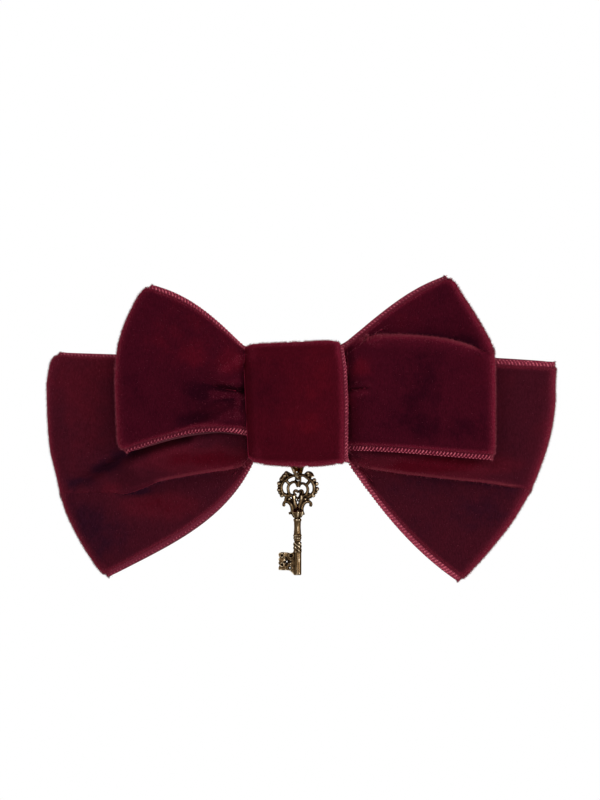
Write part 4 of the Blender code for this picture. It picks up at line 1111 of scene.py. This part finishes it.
# %% The scrolls, as a thickness at each end and points in x and z, in millimetres
SCROLLS = [
    (
        0.28, 0.36, (0.1, -15.4), (-0.8, -15.5), (-1.7, -15.8), (-2.6, -16.4), (-3.3, -17.1), (-3.6, -17.9),
        (-3.5, -18.8), (-3.1, -19.5), (-2.5, -19.9),
    ),
    (
        0.3, 0.38, (-0.1, -15.4), (0.5, -15.45), (1.3, -15.5), (2.0, -16.0), (2.7, -16.5), (3.3, -17.3),
        (3.5, -18.3), (3.3, -19.2), (2.7, -19.8), (2.1, -20.2),
    ),
    (0.14, 0.5, (-1.2, -15.35), (-1.7, -15.2), (-2.4, -15.0), (-3.0, -15.6), (-3.6, -16.5)),
    (0.18, 0.46, (1.3, -15.45), (1.65, -15.2), (2.0, -14.95), (2.7, -15.1), (3.1, -15.9)),
    (0.32, 0.3, (-2.7, -16.4), (-2.2, -17.0), (-1.8, -17.4)),
    (0.34, 0.32, (2.7, -16.4), (2.2, -17.1), (1.8, -17.6)),
    (0.34, 0.3, (-3.0, -19.5), (-2.2, -19.8), (-1.6, -19.9)),
    (0.34, 0.3, (2.6, -19.6), (1.9, -19.7), (1.3, -19.9)),
    (
        0.24, 0.34, (0.0, -18.0), (-0.2, -17.6), (-0.5, -17.0), (-1.0, -16.9), (-1.6, -17.2), (-2.1, -17.9),
        (-2.1, -18.7), (-1.9, -19.4), (-1.4, -19.8), (-0.8, -20.0),
    ),
    (
        0.24, 0.34, (0.2, -18.0), (0.5, -17.4), (0.9, -17.2), (1.5, -17.4), (2.0, -18.0), (2.1, -18.7),
        (1.9, -19.3), (1.4, -19.8), (1.0, -20.0),
    ),
    (
        0.17, 0.22, (-0.7, -15.2), (-0.5, -15.6), (-0.47, -16.1), (-0.46, -16.6), (-0.25, -17.2),
        (-0.05, -17.9),
    ),
    (0.17, 0.22, (0.62, -15.2), (0.53, -15.6), (0.53, -16.1), (0.52, -16.6), (0.37, -17.2), (0.15, -17.9)),
    (0.2, 0.22, (-0.45, -16.6), (-0.75, -16.8), (-1.1, -17.0)),
    (0.27, 0.3, (0.02, -16.66), (0.04, -17.2), (0.05, -17.9)),
    (0.26, 0.22, (-0.4, -19.8), (-0.8, -19.4), (-0.8, -18.9), (-0.4, -18.7), (-0.1, -19.0), (-0.3, -19.2)),
    (0.26, 0.22, (0.3, -19.9), (1.0, -19.3), (1.0, -18.9), (0.6, -18.7), (0.3, -19.0), (0.5, -19.3)),
    (0.4, 0.42, (-0.9, -19.8), (-0.9, -20.6), (-0.7, -21.3), (-0.5, -22.0), (-0.3, -22.7)),
    (0.4, 0.42, (0.8, -19.8), (0.7, -20.7), (0.5, -21.4), (0.3, -22.1), (0.1, -22.7)),
    (0.18, 0.16, (-0.5, -19.9), (-0.15, -20.4), (0.1, -20.1)),
    (0.18, 0.14, (0.35, -19.9), (0.1, -20.35), (-0.1, -20.7), (0.0, -21.1)),
    (
        0.3, 0.26, (-1.2, -19.8), (-1.9, -19.9), (-2.5, -20.3), (-2.7, -20.8), (-2.4, -21.2), (-1.8, -21.2),
        (-1.3, -20.7),
    ),
    (0.3, 0.26, (1.0, -20.0), (0.9, -20.7), (1.3, -21.2), (2.0, -21.1), (2.2, -20.5), (1.8, -20.0)),
    (
        0.46, 0.26, (-1.1, -23.4), (-1.2, -22.5), (-1.4, -21.9), (-1.8, -21.4), (-2.3, -21.1),
        (-2.8, -21.2), (-3.1, -21.8), (-3.0, -22.1),
    ),
    (
        0.42, 0.26, (0.8, -23.4), (0.8, -22.6), (1.0, -22.0), (1.4, -21.4), (2.1, -21.1), (2.7, -21.4),
        (2.8, -21.9), (2.6, -22.1),
    ),
    (0.4, 0.24, (-1.0, -22.4), (-1.0, -23.1), (-1.4, -23.5), (-2.0, -23.7)),
    (0.38, 0.26, (0.7, -22.5), (0.8, -23.2), (1.1, -23.7), (1.4, -23.6)),
]
# Leaves and fills are balls: x, z and a radius.
LEAVES = [
    (-2.5, -15.0, 0.5), (-3.0, -15.6, 0.52), (-3.6, -16.4, 0.46), (-4.1, -17.2, 0.46), (-4.1, -17.9, 0.36),
    (-4.1, -18.6, 0.46), (-3.9, -19.2, 0.4), (-3.5, -19.8, 0.46), (2.2, -15.0, 0.48), (2.8, -15.5, 0.44),
    (3.5, -16.5, 0.46), (4.0, -17.3, 0.46), (4.1, -18.4, 0.48), (3.8, -19.1, 0.42), (3.3, -19.8, 0.46),
    (2.7, -20.1, 0.38), (-2.3, -15.5, 0.44), (2.25, -15.5, 0.42), (0.0, -15.06, 0.34), (-3.0, -21.9, 0.34),
    (2.7, -21.9, 0.34), (-1.9, -20.6, 0.42), (1.55, -20.6, 0.42),
]

# %% The stem as heights and radii, and the outline of the bit
STEM_X = -0.12
STEM = [
    (-22.3, 0.45), (-22.9, 0.8), (-23.45, 1.2), (-23.75, 1.15), (-24.1, 0.95), (-24.5, 0.76),
    (-24.75, 0.64), (-24.85, 0.82), (-25.0, 0.9), (-25.2, 0.88), (-25.5, 0.76), (-26.6, 0.72),
    (-27.7, 0.78), (-28.2, 0.82), (-28.35, 0.94), (-28.6, 0.92), (-28.7, 0.74), (-28.85, 0.92),
    (-29.1, 0.92), (-29.2, 0.76), (-29.6, 0.78), (-29.75, 0.62), (-29.95, 0.72), (-31.8, 0.78),
    (-31.9, 0.98), (-32.1, 0.86), (-36.75, 0.86), (-36.98, 0.72),
]
BIT_EDGE = [
    (-0.2, -31.9), (-0.9, -31.95), (-1.4, -32.2), (-1.9, -32.15), (-2.4, -32.05), (-3.4, -31.97),
    (-4.0, -32.1), (-4.24, -32.45), (-4.15, -32.9), (-3.9, -33.15), (-4.2, -33.35), (-4.22, -33.75),
    (-4.0, -33.97), (-4.22, -34.2), (-4.2, -34.55), (-3.92, -34.82), (-4.15, -35.1), (-4.24, -35.6),
    (-4.1, -35.87), (-3.4, -35.92), (-2.5, -35.92), (-1.9, -35.96), (-1.4, -36.3), (-1.05, -36.75),
    (-0.2, -36.85),
]
BIT_STAR = [
    (-1.25, -34.1), (-1.8, -33.75), (-2.2, -33.65), (-2.35, -33.15), (-2.7, -33.0), (-2.85, -33.4),
    (-2.6, -33.85), (-3.0, -33.95), (-3.25, -34.1), (-3.0, -34.25), (-2.6, -34.3), (-2.8, -34.75),
    (-2.65, -35.05), (-2.35, -34.9), (-2.15, -34.45), (-1.8, -34.4),
]
BIT_HOLES = [(-3.45, -32.7, 0.24), (-3.45, -34.72, 0.24), (-1.75, -35.4, 0.32), (-1.5, -32.75, 0.34)]
BIT_PIERCED = [(-2.4, -34.05, 0.15), (-1.75, -35.4, 0.14)]
BIT_THICK = 1.0
BIT_FLOOR = 0.4
HOLE_RIM, HOLE_RIM_THICK = 0.16, 0.13
KEY_DEPTH = -2.6


# %% Helpers for the casting
def strand(points, thick, cyclic=False):
    """A drawn strand through points in mm, with a thickness at each point."""
    bpy.ops.curve.primitive_bezier_curve_add()
    made = bpy.context.object
    made.data.bevel_depth = 1.0
    made.data.bevel_resolution = 3
    made.data.resolution_u = 5
    made.data.use_fill_caps = True
    line = made.data.splines[0]
    line.use_cyclic_u = cyclic
    line.bezier_points.add(len(points) - 2)
    for knot, place, size in zip(line.bezier_points, points, thick):
        knot.co = place
        knot.radius = size
        knot.handle_left_type = "AUTO"
        knot.handle_right_type = "AUTO"
    only(made)
    bpy.ops.object.convert(target="MESH")
    return bpy.context.object


def ball(place, size):
    bpy.ops.mesh.primitive_uv_sphere_add(segments=12, ring_count=8, radius=size, location=place)
    return bpy.context.object


def turned(x, y, profile, sides=32):
    """A turned piece in mm: a disc pulled down ring by ring, each ring scaled to its radius."""
    top, wide = profile[0]
    bpy.ops.mesh.primitive_circle_add(vertices=sides, radius=wide, fill_type="NGON", location=(x, y, top))
    made = bpy.context.object
    bpy.ops.object.mode_set(mode="EDIT")
    bpy.ops.mesh.select_all(action="SELECT")
    for height, radius in profile[1:]:
        bpy.ops.mesh.extrude_region_move(TRANSFORM_OT_translate={"value": (0.0, 0.0, height - top)})
        share = radius / wide
        bpy.ops.transform.resize(value=(share, share, 1.0), center_override=(x, y, height))
        top, wide = height, radius
    bpy.ops.mesh.select_all(action="SELECT")
    bpy.ops.mesh.normals_make_consistent(inside=False)
    bpy.ops.object.mode_set(mode="OBJECT")
    return made


def flat_drawing(outlines, thick, depth):
    """A plate in mm from closed outlines in x and z, the inner ones left open as holes."""
    bpy.ops.curve.primitive_bezier_curve_add()
    made = bpy.context.object
    made.data.splines.clear()
    made.data.dimensions = "2D"
    made.data.fill_mode = "BOTH"
    made.data.extrude = thick / 2
    for outline in outlines:
        line = made.data.splines.new("POLY")
        line.points.add(len(outline) - 1)
        line.use_cyclic_u = True
        for knot, (x, z) in zip(line.points, outline):
            knot.co = (x, z, 0.0, 1.0)
    only(made)
    made.rotation_euler = (math.pi / 2, 0.0, 0.0)
    made.location = (0.0, depth, 0.0)
    bpy.ops.object.convert(target="MESH")
    return bpy.context.object


def round_hole(x, z, size, sides=14):
    angles = [2.0 * math.pi * i / sides for i in range(sides)]
    return [(x + size * math.cos(a), z + size * math.sin(a)) for a in angles]


def on_stem(angle, radius, height):
    """A point in mm on a circle round the stem."""
    return (STEM_X + radius * math.cos(angle), KEY_DEPTH + radius * math.sin(angle), height)


# %% Helpers to join and fuse
def joined(pieces):
    bpy.ops.object.select_all(action="DESELECT")
    for piece in pieces:
        piece.select_set(True)
    bpy.context.view_layer.objects.active = pieces[0]
    bpy.ops.object.join()
    return pieces[0]


def to_metres(made, name):
    """Names a piece drawn in mm and brings it to metres."""
    made.name = name
    made.data.name = name
    only(made)
    made.scale = (MM, MM, MM)
    bpy.ops.object.transform_apply(location=False, rotation=False, scale=True)
    bpy.ops.object.shade_smooth()
    return made


def fused(name, pieces, voxel, rounds):
    """Joins pieces in mm into one skin, smooths it and brings it to metres."""
    made = joined(pieces)
    bpy.ops.object.transform_apply(location=True, rotation=True, scale=True)
    skin = made.modifiers.new("skin", "REMESH")
    skin.mode = "VOXEL"
    skin.voxel_size = voxel
    bpy.ops.object.modifier_apply(modifier="skin")
    ease = made.modifiers.new("ease", "SMOOTH")
    ease.factor = 0.5
    ease.iterations = rounds
    bpy.ops.object.modifier_apply(modifier="ease")
    return to_metres(made, name)


# %% Mark wear, patina, painted shade and painted highlights on the casting
WORN_ROUNDS = 3
RELIEF = 0.05 * MM
WORN_RELIEF, WORN_FRONT, FRONT_REACH, WORN_SHIFT = 0.8, 4.0, 0.42, 1.78


def mark_wear_and_highlights(made, depth):
    """Writes how far each point stands out of its surroundings and from the middle depth of the casting."""
    mesh = made.data
    count = len(mesh.vertices)
    place = np.zeros((count, 3))
    mesh.vertices.foreach_get("co", place.ravel())
    normal = np.zeros((count, 3))
    mesh.vertex_normals.foreach_get("vector", normal.ravel())
    pairs = np.zeros(len(mesh.edges) * 2, int)
    mesh.edges.foreach_get("vertices", pairs)
    first, second = pairs.reshape(-1, 2).T
    near = np.bincount(pairs, minlength=count).astype(float)

    def around(values):
        total = np.zeros_like(values)
        np.add.at(total, first, values[second])
        np.add.at(total, second, values[first])
        return (total.T / near).T

    smooth = place
    for _ in range(WORN_ROUNDS * 4):
        smooth = around(smooth)
    worn = ((place - smooth) * normal).sum(axis=1) / RELIEF
    for _ in range(WORN_ROUNDS):
        worn = around(worn)
    # Faces standing out from the middle depth get lighter and strand sides darker: partly wear, partly
    # painted highlight and shade.
    front = np.minimum(np.abs(place[:, 1] / MM - depth), FRONT_REACH)
    worn = WORN_RELIEF * worn + WORN_FRONT * front - WORN_SHIFT
    # The worn attribute holds real wear together with painted highlights on crests and painted shade on
    # strand sides.
    mesh.attributes.new("worn", "FLOAT", "POINT").data.foreach_set("value", worn)


# %% Cast the key
STRAND_STRONG = 1.15
TWISTS, TWIST_STEPS, TWIST_TURN = 5, 9, 0.45
TWIST_TOP, TWIST_LONG, TWIST_RADIUS, TWIST_THICK = -29.95, 1.8, 0.74, 0.2
COLLAR_LEAVES, COLLAR_TURN = 7, 0.35
COLLAR_RIB = [(0.75, -22.9), (1.22, -23.5), (1.02, -24.0), (0.74, -24.6)]
COLLAR_THICK = (0.16, 0.26, 0.22, 0.14)

cast = []
for start, end, *points in SCROLLS:
    thick = STRAND_STRONG * np.linspace(start, end, len(points))
    cast.append(strand([(x, KEY_DEPTH, z) for x, z in points], thick))
cast += [ball((x, KEY_DEPTH, z), size) for x, z, size in LEAVES]
cast.append(turned(STEM_X, KEY_DEPTH, STEM))
for twist in range(TWISTS):
    helix = []
    for share in np.linspace(0.0, 1.0, TWIST_STEPS):
        angle = 2.0 * math.pi * (twist / TWISTS + TWIST_TURN * share)
        helix.append(on_stem(angle, TWIST_RADIUS, TWIST_TOP - TWIST_LONG * share))
    cast.append(strand(helix, [TWIST_THICK] * TWIST_STEPS))
for leaf in range(COLLAR_LEAVES):
    angle = 2.0 * math.pi * (leaf + COLLAR_TURN) / COLLAR_LEAVES
    cast.append(strand([on_stem(angle, *place) for place in COLLAR_RIB], COLLAR_THICK))
outlines = [BIT_EDGE, BIT_STAR] + [round_hole(*hole) for hole in BIT_HOLES]
cast.append(flat_drawing(outlines, BIT_THICK, KEY_DEPTH))
cast.append(flat_drawing([BIT_EDGE] + [round_hole(*hole) for hole in BIT_PIERCED], BIT_FLOOR, KEY_DEPTH))
for x, z, size in BIT_HOLES:
    rim = [(a, KEY_DEPTH - BIT_THICK / 2, b) for a, b in round_hole(x, z, size + HOLE_RIM)]
    cast.append(strand(rim, [HOLE_RIM_THICK] * len(rim), cyclic=True))
key = fused("key", cast, voxel=0.08, rounds=3)
mark_wear_and_highlights(key, KEY_DEPTH)
print("key faces:", len(key.data.polygons))


# %% Antique bronze
def bronze(name, dark, middle, polish_and_highlight):
    """Dark in the hollows' patina and on strand sides as painted shade, brown on faces, bright as polish and
    painted highlight.
    """
    made, tree, shader = new_material(name)
    blotch = tree.noise(tree.place(), scale=900.0, detail=4.0, roughness=0.6)
    stripe = tree.noise(tree.place((1.0, 1.0, 0.12)), scale=2600.0, detail=2.0, roughness=0.5)
    level = tree.math("ADD", tree.attribute("worn"), tree.ranged(blotch, 0.3, 0.7, -0.25, 0.25))
    level = tree.math("ADD", level, tree.ranged(stripe, 0.3, 0.7, -0.35, 0.35))
    # Dark is patina in the hollows and painted shade on strand sides; bright is polish on crests with a
    # painted highlight.
    brown = tree.mix(tree.ranged(level, -0.9, 0.1), dark, middle)
    tree.feed(shader, {
        "Base Color": tree.mix(tree.ranged(level, 0.3, 1.05), brown, polish_and_highlight),
        "Normal": tree.bump(blotch, strength=0.10, distance=0.0001),
        "Roughness": tree.ranged(blotch, 0.3, 0.7, 0.11, 0.20),
        "Metallic": 1.0, "Specular Tint": (0.35, 0.28, 0.20),
    })
    return made


# The brightest colour is polish on the crests with a painted highlight in it.
BRONZE = bronze(
    "antique_bronze", dark=(0.009, 0.005, 0.003), middle=(0.080, 0.048, 0.022), polish_and_highlight=(0.72, 0.57, 0.38),
)
key.data.materials.append(BRONZE)
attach(key, "key")
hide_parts("key_charm")
print("key in", BRONZE.name)

# %% [markdown]
# ## The ring and the threads
# The key hangs from a wire ring, nipped to a narrow V with a few turns of wire round its neck, and the ring
# hangs from stitches on the wrap's tail. The ring is one bent strand with short strands across it, all fused.
# The stitched loop is two plies twisted round each other, and the bows' gathering threads are wound coils.

# %% Bend the ring
# Each half is an angle from the ring's lowest point, in degrees, and the x that the ring is nipped in to.
# A turn of wire has its heights at the left and the right half, how far it stands ahead, and its thickness.
RING_RADIUS = 2.3
RING_CENTRE = -14.05
RING_DEEP = 0.788
RING_HALVES = {
    "right": [(30, 0.3), (55, 0.45), (75, 0.7), (95, 0.98), (120, 1.3), (150, 0.85)],
    "left": [(-150, -0.95), (-120, -1.62), (-95, -1.15), (-75, -0.8), (-55, -0.45), (-30, -0.14)],
}
RING_THICK = [0.25, 0.27, 0.36, 0.36, 0.3, 0.3, 0.3, 0.3, 0.3, 0.3, 0.36, 0.38, 0.36, 0.26]
WINDS = [
    (-13.32, -13.62, 0.0, 0.26), (-13.4, -14.75, -0.4, 0.3), (-13.75, -14.2, 0.0, 0.27),
    (-14.22, -14.82, 0.0, 0.31),
]
WIND_RISE = 0.12


def ring_point(angle, x):
    """A point of the round ring at an angle from its lowest point, nipped in to the drawn width."""
    turn = math.radians(angle)
    depth = KEY_DEPTH + RING_DEEP * RING_RADIUS * math.sin(turn)
    return (x, depth, RING_CENTRE - RING_RADIUS * math.cos(turn))


halves = {half: [ring_point(*place) for place in places] for half, places in RING_HALVES.items()}


def at_height(half, height):
    """The point of one half of the ring at a height."""
    line = np.array(sorted(halves[half], key=lambda point: point[2]))
    return along_line(height, line[:, 2], line)


bent = [ring_point(0, 0.0), *halves["right"], ring_point(180, 0.0), *halves["left"]]
wires = [strand(bent, RING_THICK, cyclic=True)]
for left_height, right_height, ahead, thick in WINDS:
    start = at_height("left", left_height)
    end = at_height("right", right_height)
    wires.append(strand([start, 0.5 * (start + end) + (0.0, ahead, WIND_RISE), end], [thick] * 3))
ring = fused("ring_wire", wires, voxel=0.07, rounds=2)
mark_wear_and_highlights(ring, KEY_DEPTH)
ring.data.materials.append(BRONZE)
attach(ring, "ring")
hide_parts("jump_ring")
print("ring faces:", len(ring.data.polygons))

# %% Twist the loop, wind the gathering threads and sew the tail
PLY, PLY_TWIST, PLY_STEP, PLY_LAY = 0.16, 1.1, 0.16, 0.9
HALF_LOOP = [
    (1.9, -3.1, -9.7), (1.9, -3.0, -10.9), (1.7, -2.7, -11.8), (1.2, -2.6, -12.35), (0.6, -2.6, -12.62),
]
LOOP_END = (0.0, -2.6, -12.7)
COIL_TURNS, COIL_STEPS = 6, 24
COIL_HALF, COIL_LONG, COIL_THICK = (2.5, 10.9), 4.2, 0.3
TAIL_FIRST, TAIL_LAST, TAIL_PITCH, TAIL_THICK = -9.2, 9.3, 2.3, 0.17
# A stitch goes over the tail's end. Each point has the depth of the cloth there, its shift in x, its lift off
# the cloth and its height above the tail's end.
TAIL_STITCH = [(WRAP_TAIL, 0.0, 0.45, -1.3), (WRAP_TAIL, 0.35, 0.62, -0.1), (WRAP_BACK, 0.7, 0.45, 1.0)]


def twisted(path, plies=2):
    """Plies wound round a path, each of them a strand."""
    line = np.array(path)
    run = run_of(line)
    at = np.linspace(0.0, run[-1], int(run[-1] / PLY_STEP))
    line = along_line(at, run, line)
    along = unit(np.gradient(line, axis=0))
    first = unit(np.cross(along, (0.0, 1.0, 0.3)))
    second = np.cross(along, first)
    made = []
    for number in range(plies):
        turn = (2.0 * math.pi * (at / PLY_TWIST + number / plies))[:, None]
        around = np.cos(turn) * first + np.sin(turn) * second
        made.append(strand(line + PLY_LAY * PLY * around, [PLY] * len(at)))
    return made


def coil(name, depth):
    """A thread wound round a pinched bow, oblong, turn beside turn."""
    points = []
    for share in np.linspace(0.0, 1.0, COIL_TURNS * COIL_STEPS + 1):
        angle = 2.0 * math.pi * COIL_TURNS * share
        round_place = np.array((math.cos(angle), math.sin(angle)))
        y, z = COIL_HALF * np.copysign(np.abs(round_place) ** 0.5, round_place)
        points.append((COIL_LONG * share - COIL_LONG / 2, depth + y, z))
    return to_metres(strand(points, [COIL_THICK] * len(points)), name)


def tail_stitches():
    """Hand stitches over the end of the wrap's tail, one strand each."""
    made = []
    for x in np.arange(TAIL_FIRST, TAIL_LAST, TAIL_PITCH):
        arch = plate_arch(x)
        points = [(x + aside, cloth + arch + lift, LAP + above) for cloth, aside, lift, above in TAIL_STITCH]
        made.append(strand(points, [TAIL_THICK] * len(points)))
    return to_metres(joined(made), "tail_stitches")


loop_path = HALF_LOOP + [LOOP_END] + [(-x, y, z) for x, y, z in reversed(HALF_LOOP)]
charm_loop = to_metres(joined(twisted(loop_path)), "charm_loop")
LOOP_THREAD = thread_material("loop_thread", dark=(0.030, 0.004, 0.008), light=(0.085, 0.010, 0.020))
front_coil = coil("front_coil", depth=-16.2)
rear_coil = coil("rear_coil", depth=-10.3)
sewn = tail_stitches()
for piece in (charm_loop, front_coil, rear_coil, sewn):
    piece.data.materials.append(LOOP_THREAD)
    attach(piece, "bow")
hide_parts("charm_thread_loop")
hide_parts("front_gather_thread")
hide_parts("rear_gather_thread")
print("thread faces:", len(charm_loop.data.polygons), len(front_coil.data.polygons))

# %% [markdown]
# ## The clip
# Behind the bow sits a spring clip of stamped and plated steel. The CAD pieces already have its exact form,
# so they are kept: their sharp edges are broken a little, as tumbling would, and they are plated.

# %% Plate the clip
WELD_REACH = 0.002 * MM
BROKEN_EDGE = 0.08 * MM
SHARP = math.radians(40.0)
DULLED = 0.9


def plated(name, colour, rough):
    """Nickel plating with fine scratches along the strip and a few dull spots."""
    made, tree, shader = new_material(name)
    scratch = tree.noise(tree.place((0.04, 1.0, 1.0)), scale=9000.0, detail=3.0, roughness=0.7)
    dull = tree.noise(tree.place(), scale=420.0, detail=3.0, roughness=0.6)
    shade = tuple(DULLED * c for c in colour)
    worn = tree.math("ADD", tree.ranged(scratch, 0.3, 0.7, -0.07, 0.09), rough)
    tree.feed(shader, {
        "Base Color": tree.mix(tree.ranged(dull, 0.35, 0.7), colour, shade),
        "Normal": tree.bump(scratch, strength=0.08, distance=0.00005), "Metallic": 1.0,
        "Roughness": tree.math("ADD", worn, tree.ranged(dull, 0.45, 0.75, 0.0, 0.06)),
    })
    return made


NICKEL = plated("nickel_plate", (0.36, 0.352, 0.335), rough=0.26)
SPRING_STEEL = plated("spring_steel", (0.30, 0.30, 0.295), rough=0.32)
RIVET = plated("rivet_steel", (0.29, 0.28, 0.255), rough=0.34)
for look, nodes in (
    (NICKEL, ("clip_base_plate", "clasp_arm", "catch_base", "catch_wing_upper", "catch_wing_lower")),
    (SPRING_STEEL, ("clip_tension_spring",)),
    (RIVET, ("clip_hinge_pin", "spring_rivet", "catch_rivet")),
):
    for node in nodes:
        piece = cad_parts[node]
        weld = piece.modifiers.new("weld", "WELD")
        weld.merge_threshold = WELD_REACH
        ease = piece.modifiers.new("broken_edges", "BEVEL")
        ease.width = BROKEN_EDGE
        ease.segments = 2
        ease.limit_method = "ANGLE"
        ease.angle_limit = SHARP
        piece.data.materials.clear()
        piece.data.materials.append(look)
    print("plated with", look.name + ":", *nodes)

# %% [markdown]
# ## Stage and light
# The bow hangs in soft studio light before plain white. The white is only what the camera and mirrors see:
# the world's own light on the velvet stays at a plain level.

# %% Floor and world
FLOOR_HEIGHT = -90.0 * MM
FLOOR_SIZE = 4.0
WHITE = (1.0, 1.0, 1.0)
WORLD_LIGHT = 0.35
WORLD_SEEN = 0.65


def seen_white(tree, *more):
    """1 for rays from the camera and from mirrors, and for others that are named."""
    rays = tree.add("LightPath")
    seen = rays["Is Camera Ray"]
    for name in ("Is Glossy Ray", *more):
        seen = tree.math("MAXIMUM", seen, rays[name])
    return seen


bpy.ops.object.select_all(action="DESELECT")
bpy.ops.mesh.primitive_plane_add(size=FLOOR_SIZE, location=(0.0, 0.0, 0.0))
floor = bpy.context.object
floor.name = "floor"
floor.location = (0.0, 0.0, FLOOR_HEIGHT)
pale, tree, shader = new_material("pale_floor")
tree.feed(shader, {"Base Color": (0.85, 0.85, 0.85), "Roughness": 0.9})
away = tree.add("VectorMath", {0: tree.place()}, operation="LENGTH")["Value"]
share = tree.math("MULTIPLY", seen_white(tree), tree.ranged(away, 0.02, 0.07, 0.6, 1.0))
glow = tree.add("Emission", {"Color": WHITE})["Emission"]
blend = tree.add("MixShader", {"Fac": share, 1: shader.outputs["BSDF"], 2: glow})["Shader"]
tree.feed(tree.nodes["Material Output"], {"Surface": blend})
floor.data.materials.append(pale)

world = bpy.data.worlds.new("studio")
bpy.context.scene.world = world
world.use_nodes = True
tree = Tree(world.node_tree)
strength = tree.math("MULTIPLY_ADD", seen_white(tree, "Is Transmission Ray"), WORLD_SEEN, WORLD_LIGHT)
tree.feed(tree.nodes["Background"], {"Color": WHITE, "Strength": strength})
print("floor at", FLOOR_HEIGHT, "m in", world.name)


# %% Lamps, each with its place, its aim, its width, its power and how many times taller than wide it is
LAMPS = [
    ("lamp_front_low", (0.18, -1.00, -0.30), (0.0, 0.0, 0.0), 0.35, 5.0, 2.6),
    ("lamp_side", (0.65, -0.47, 0.0), (0.0, 0.0, -0.02), 0.25, 1.6, 1.0),
    ("lamp_upper_left", (-0.50, -0.70, 0.50), (0.0, 0.0, 0.0), 0.45, 1.4, 1.0),
    ("lamp_glint_right", (0.50, -0.70, 0.10), (0.0, 0.0, -0.02), 0.05, 0.15, 1.0),
    ("lamp_glint_top", (-0.15, -0.55, 0.60), (0.0, 0.0, -0.02), 0.05, 0.15, 1.0),
    ("lamp_behind", (0.0, 0.45, 0.10), (0.0, 0.0, 0.0), 0.60, 1.5, 1.0),
]
for name, place, aim, size, power, tall in LAMPS:
    bpy.ops.object.light_add(type="AREA", location=place)
    lamp = bpy.context.object
    lamp.name = name
    lamp.data.shape = "RECTANGLE"
    lamp.data.size = size
    lamp.data.size_y = size * tall
    lamp.data.energy = power
    lamp.rotation_euler = (Vector(aim) - Vector(place)).to_track_quat("-Z", "Y").to_euler()
    lamp.visible_camera = False
bpy.context.scene.view_settings.view_transform = "Standard"
print("lamps:", len(LAMPS))
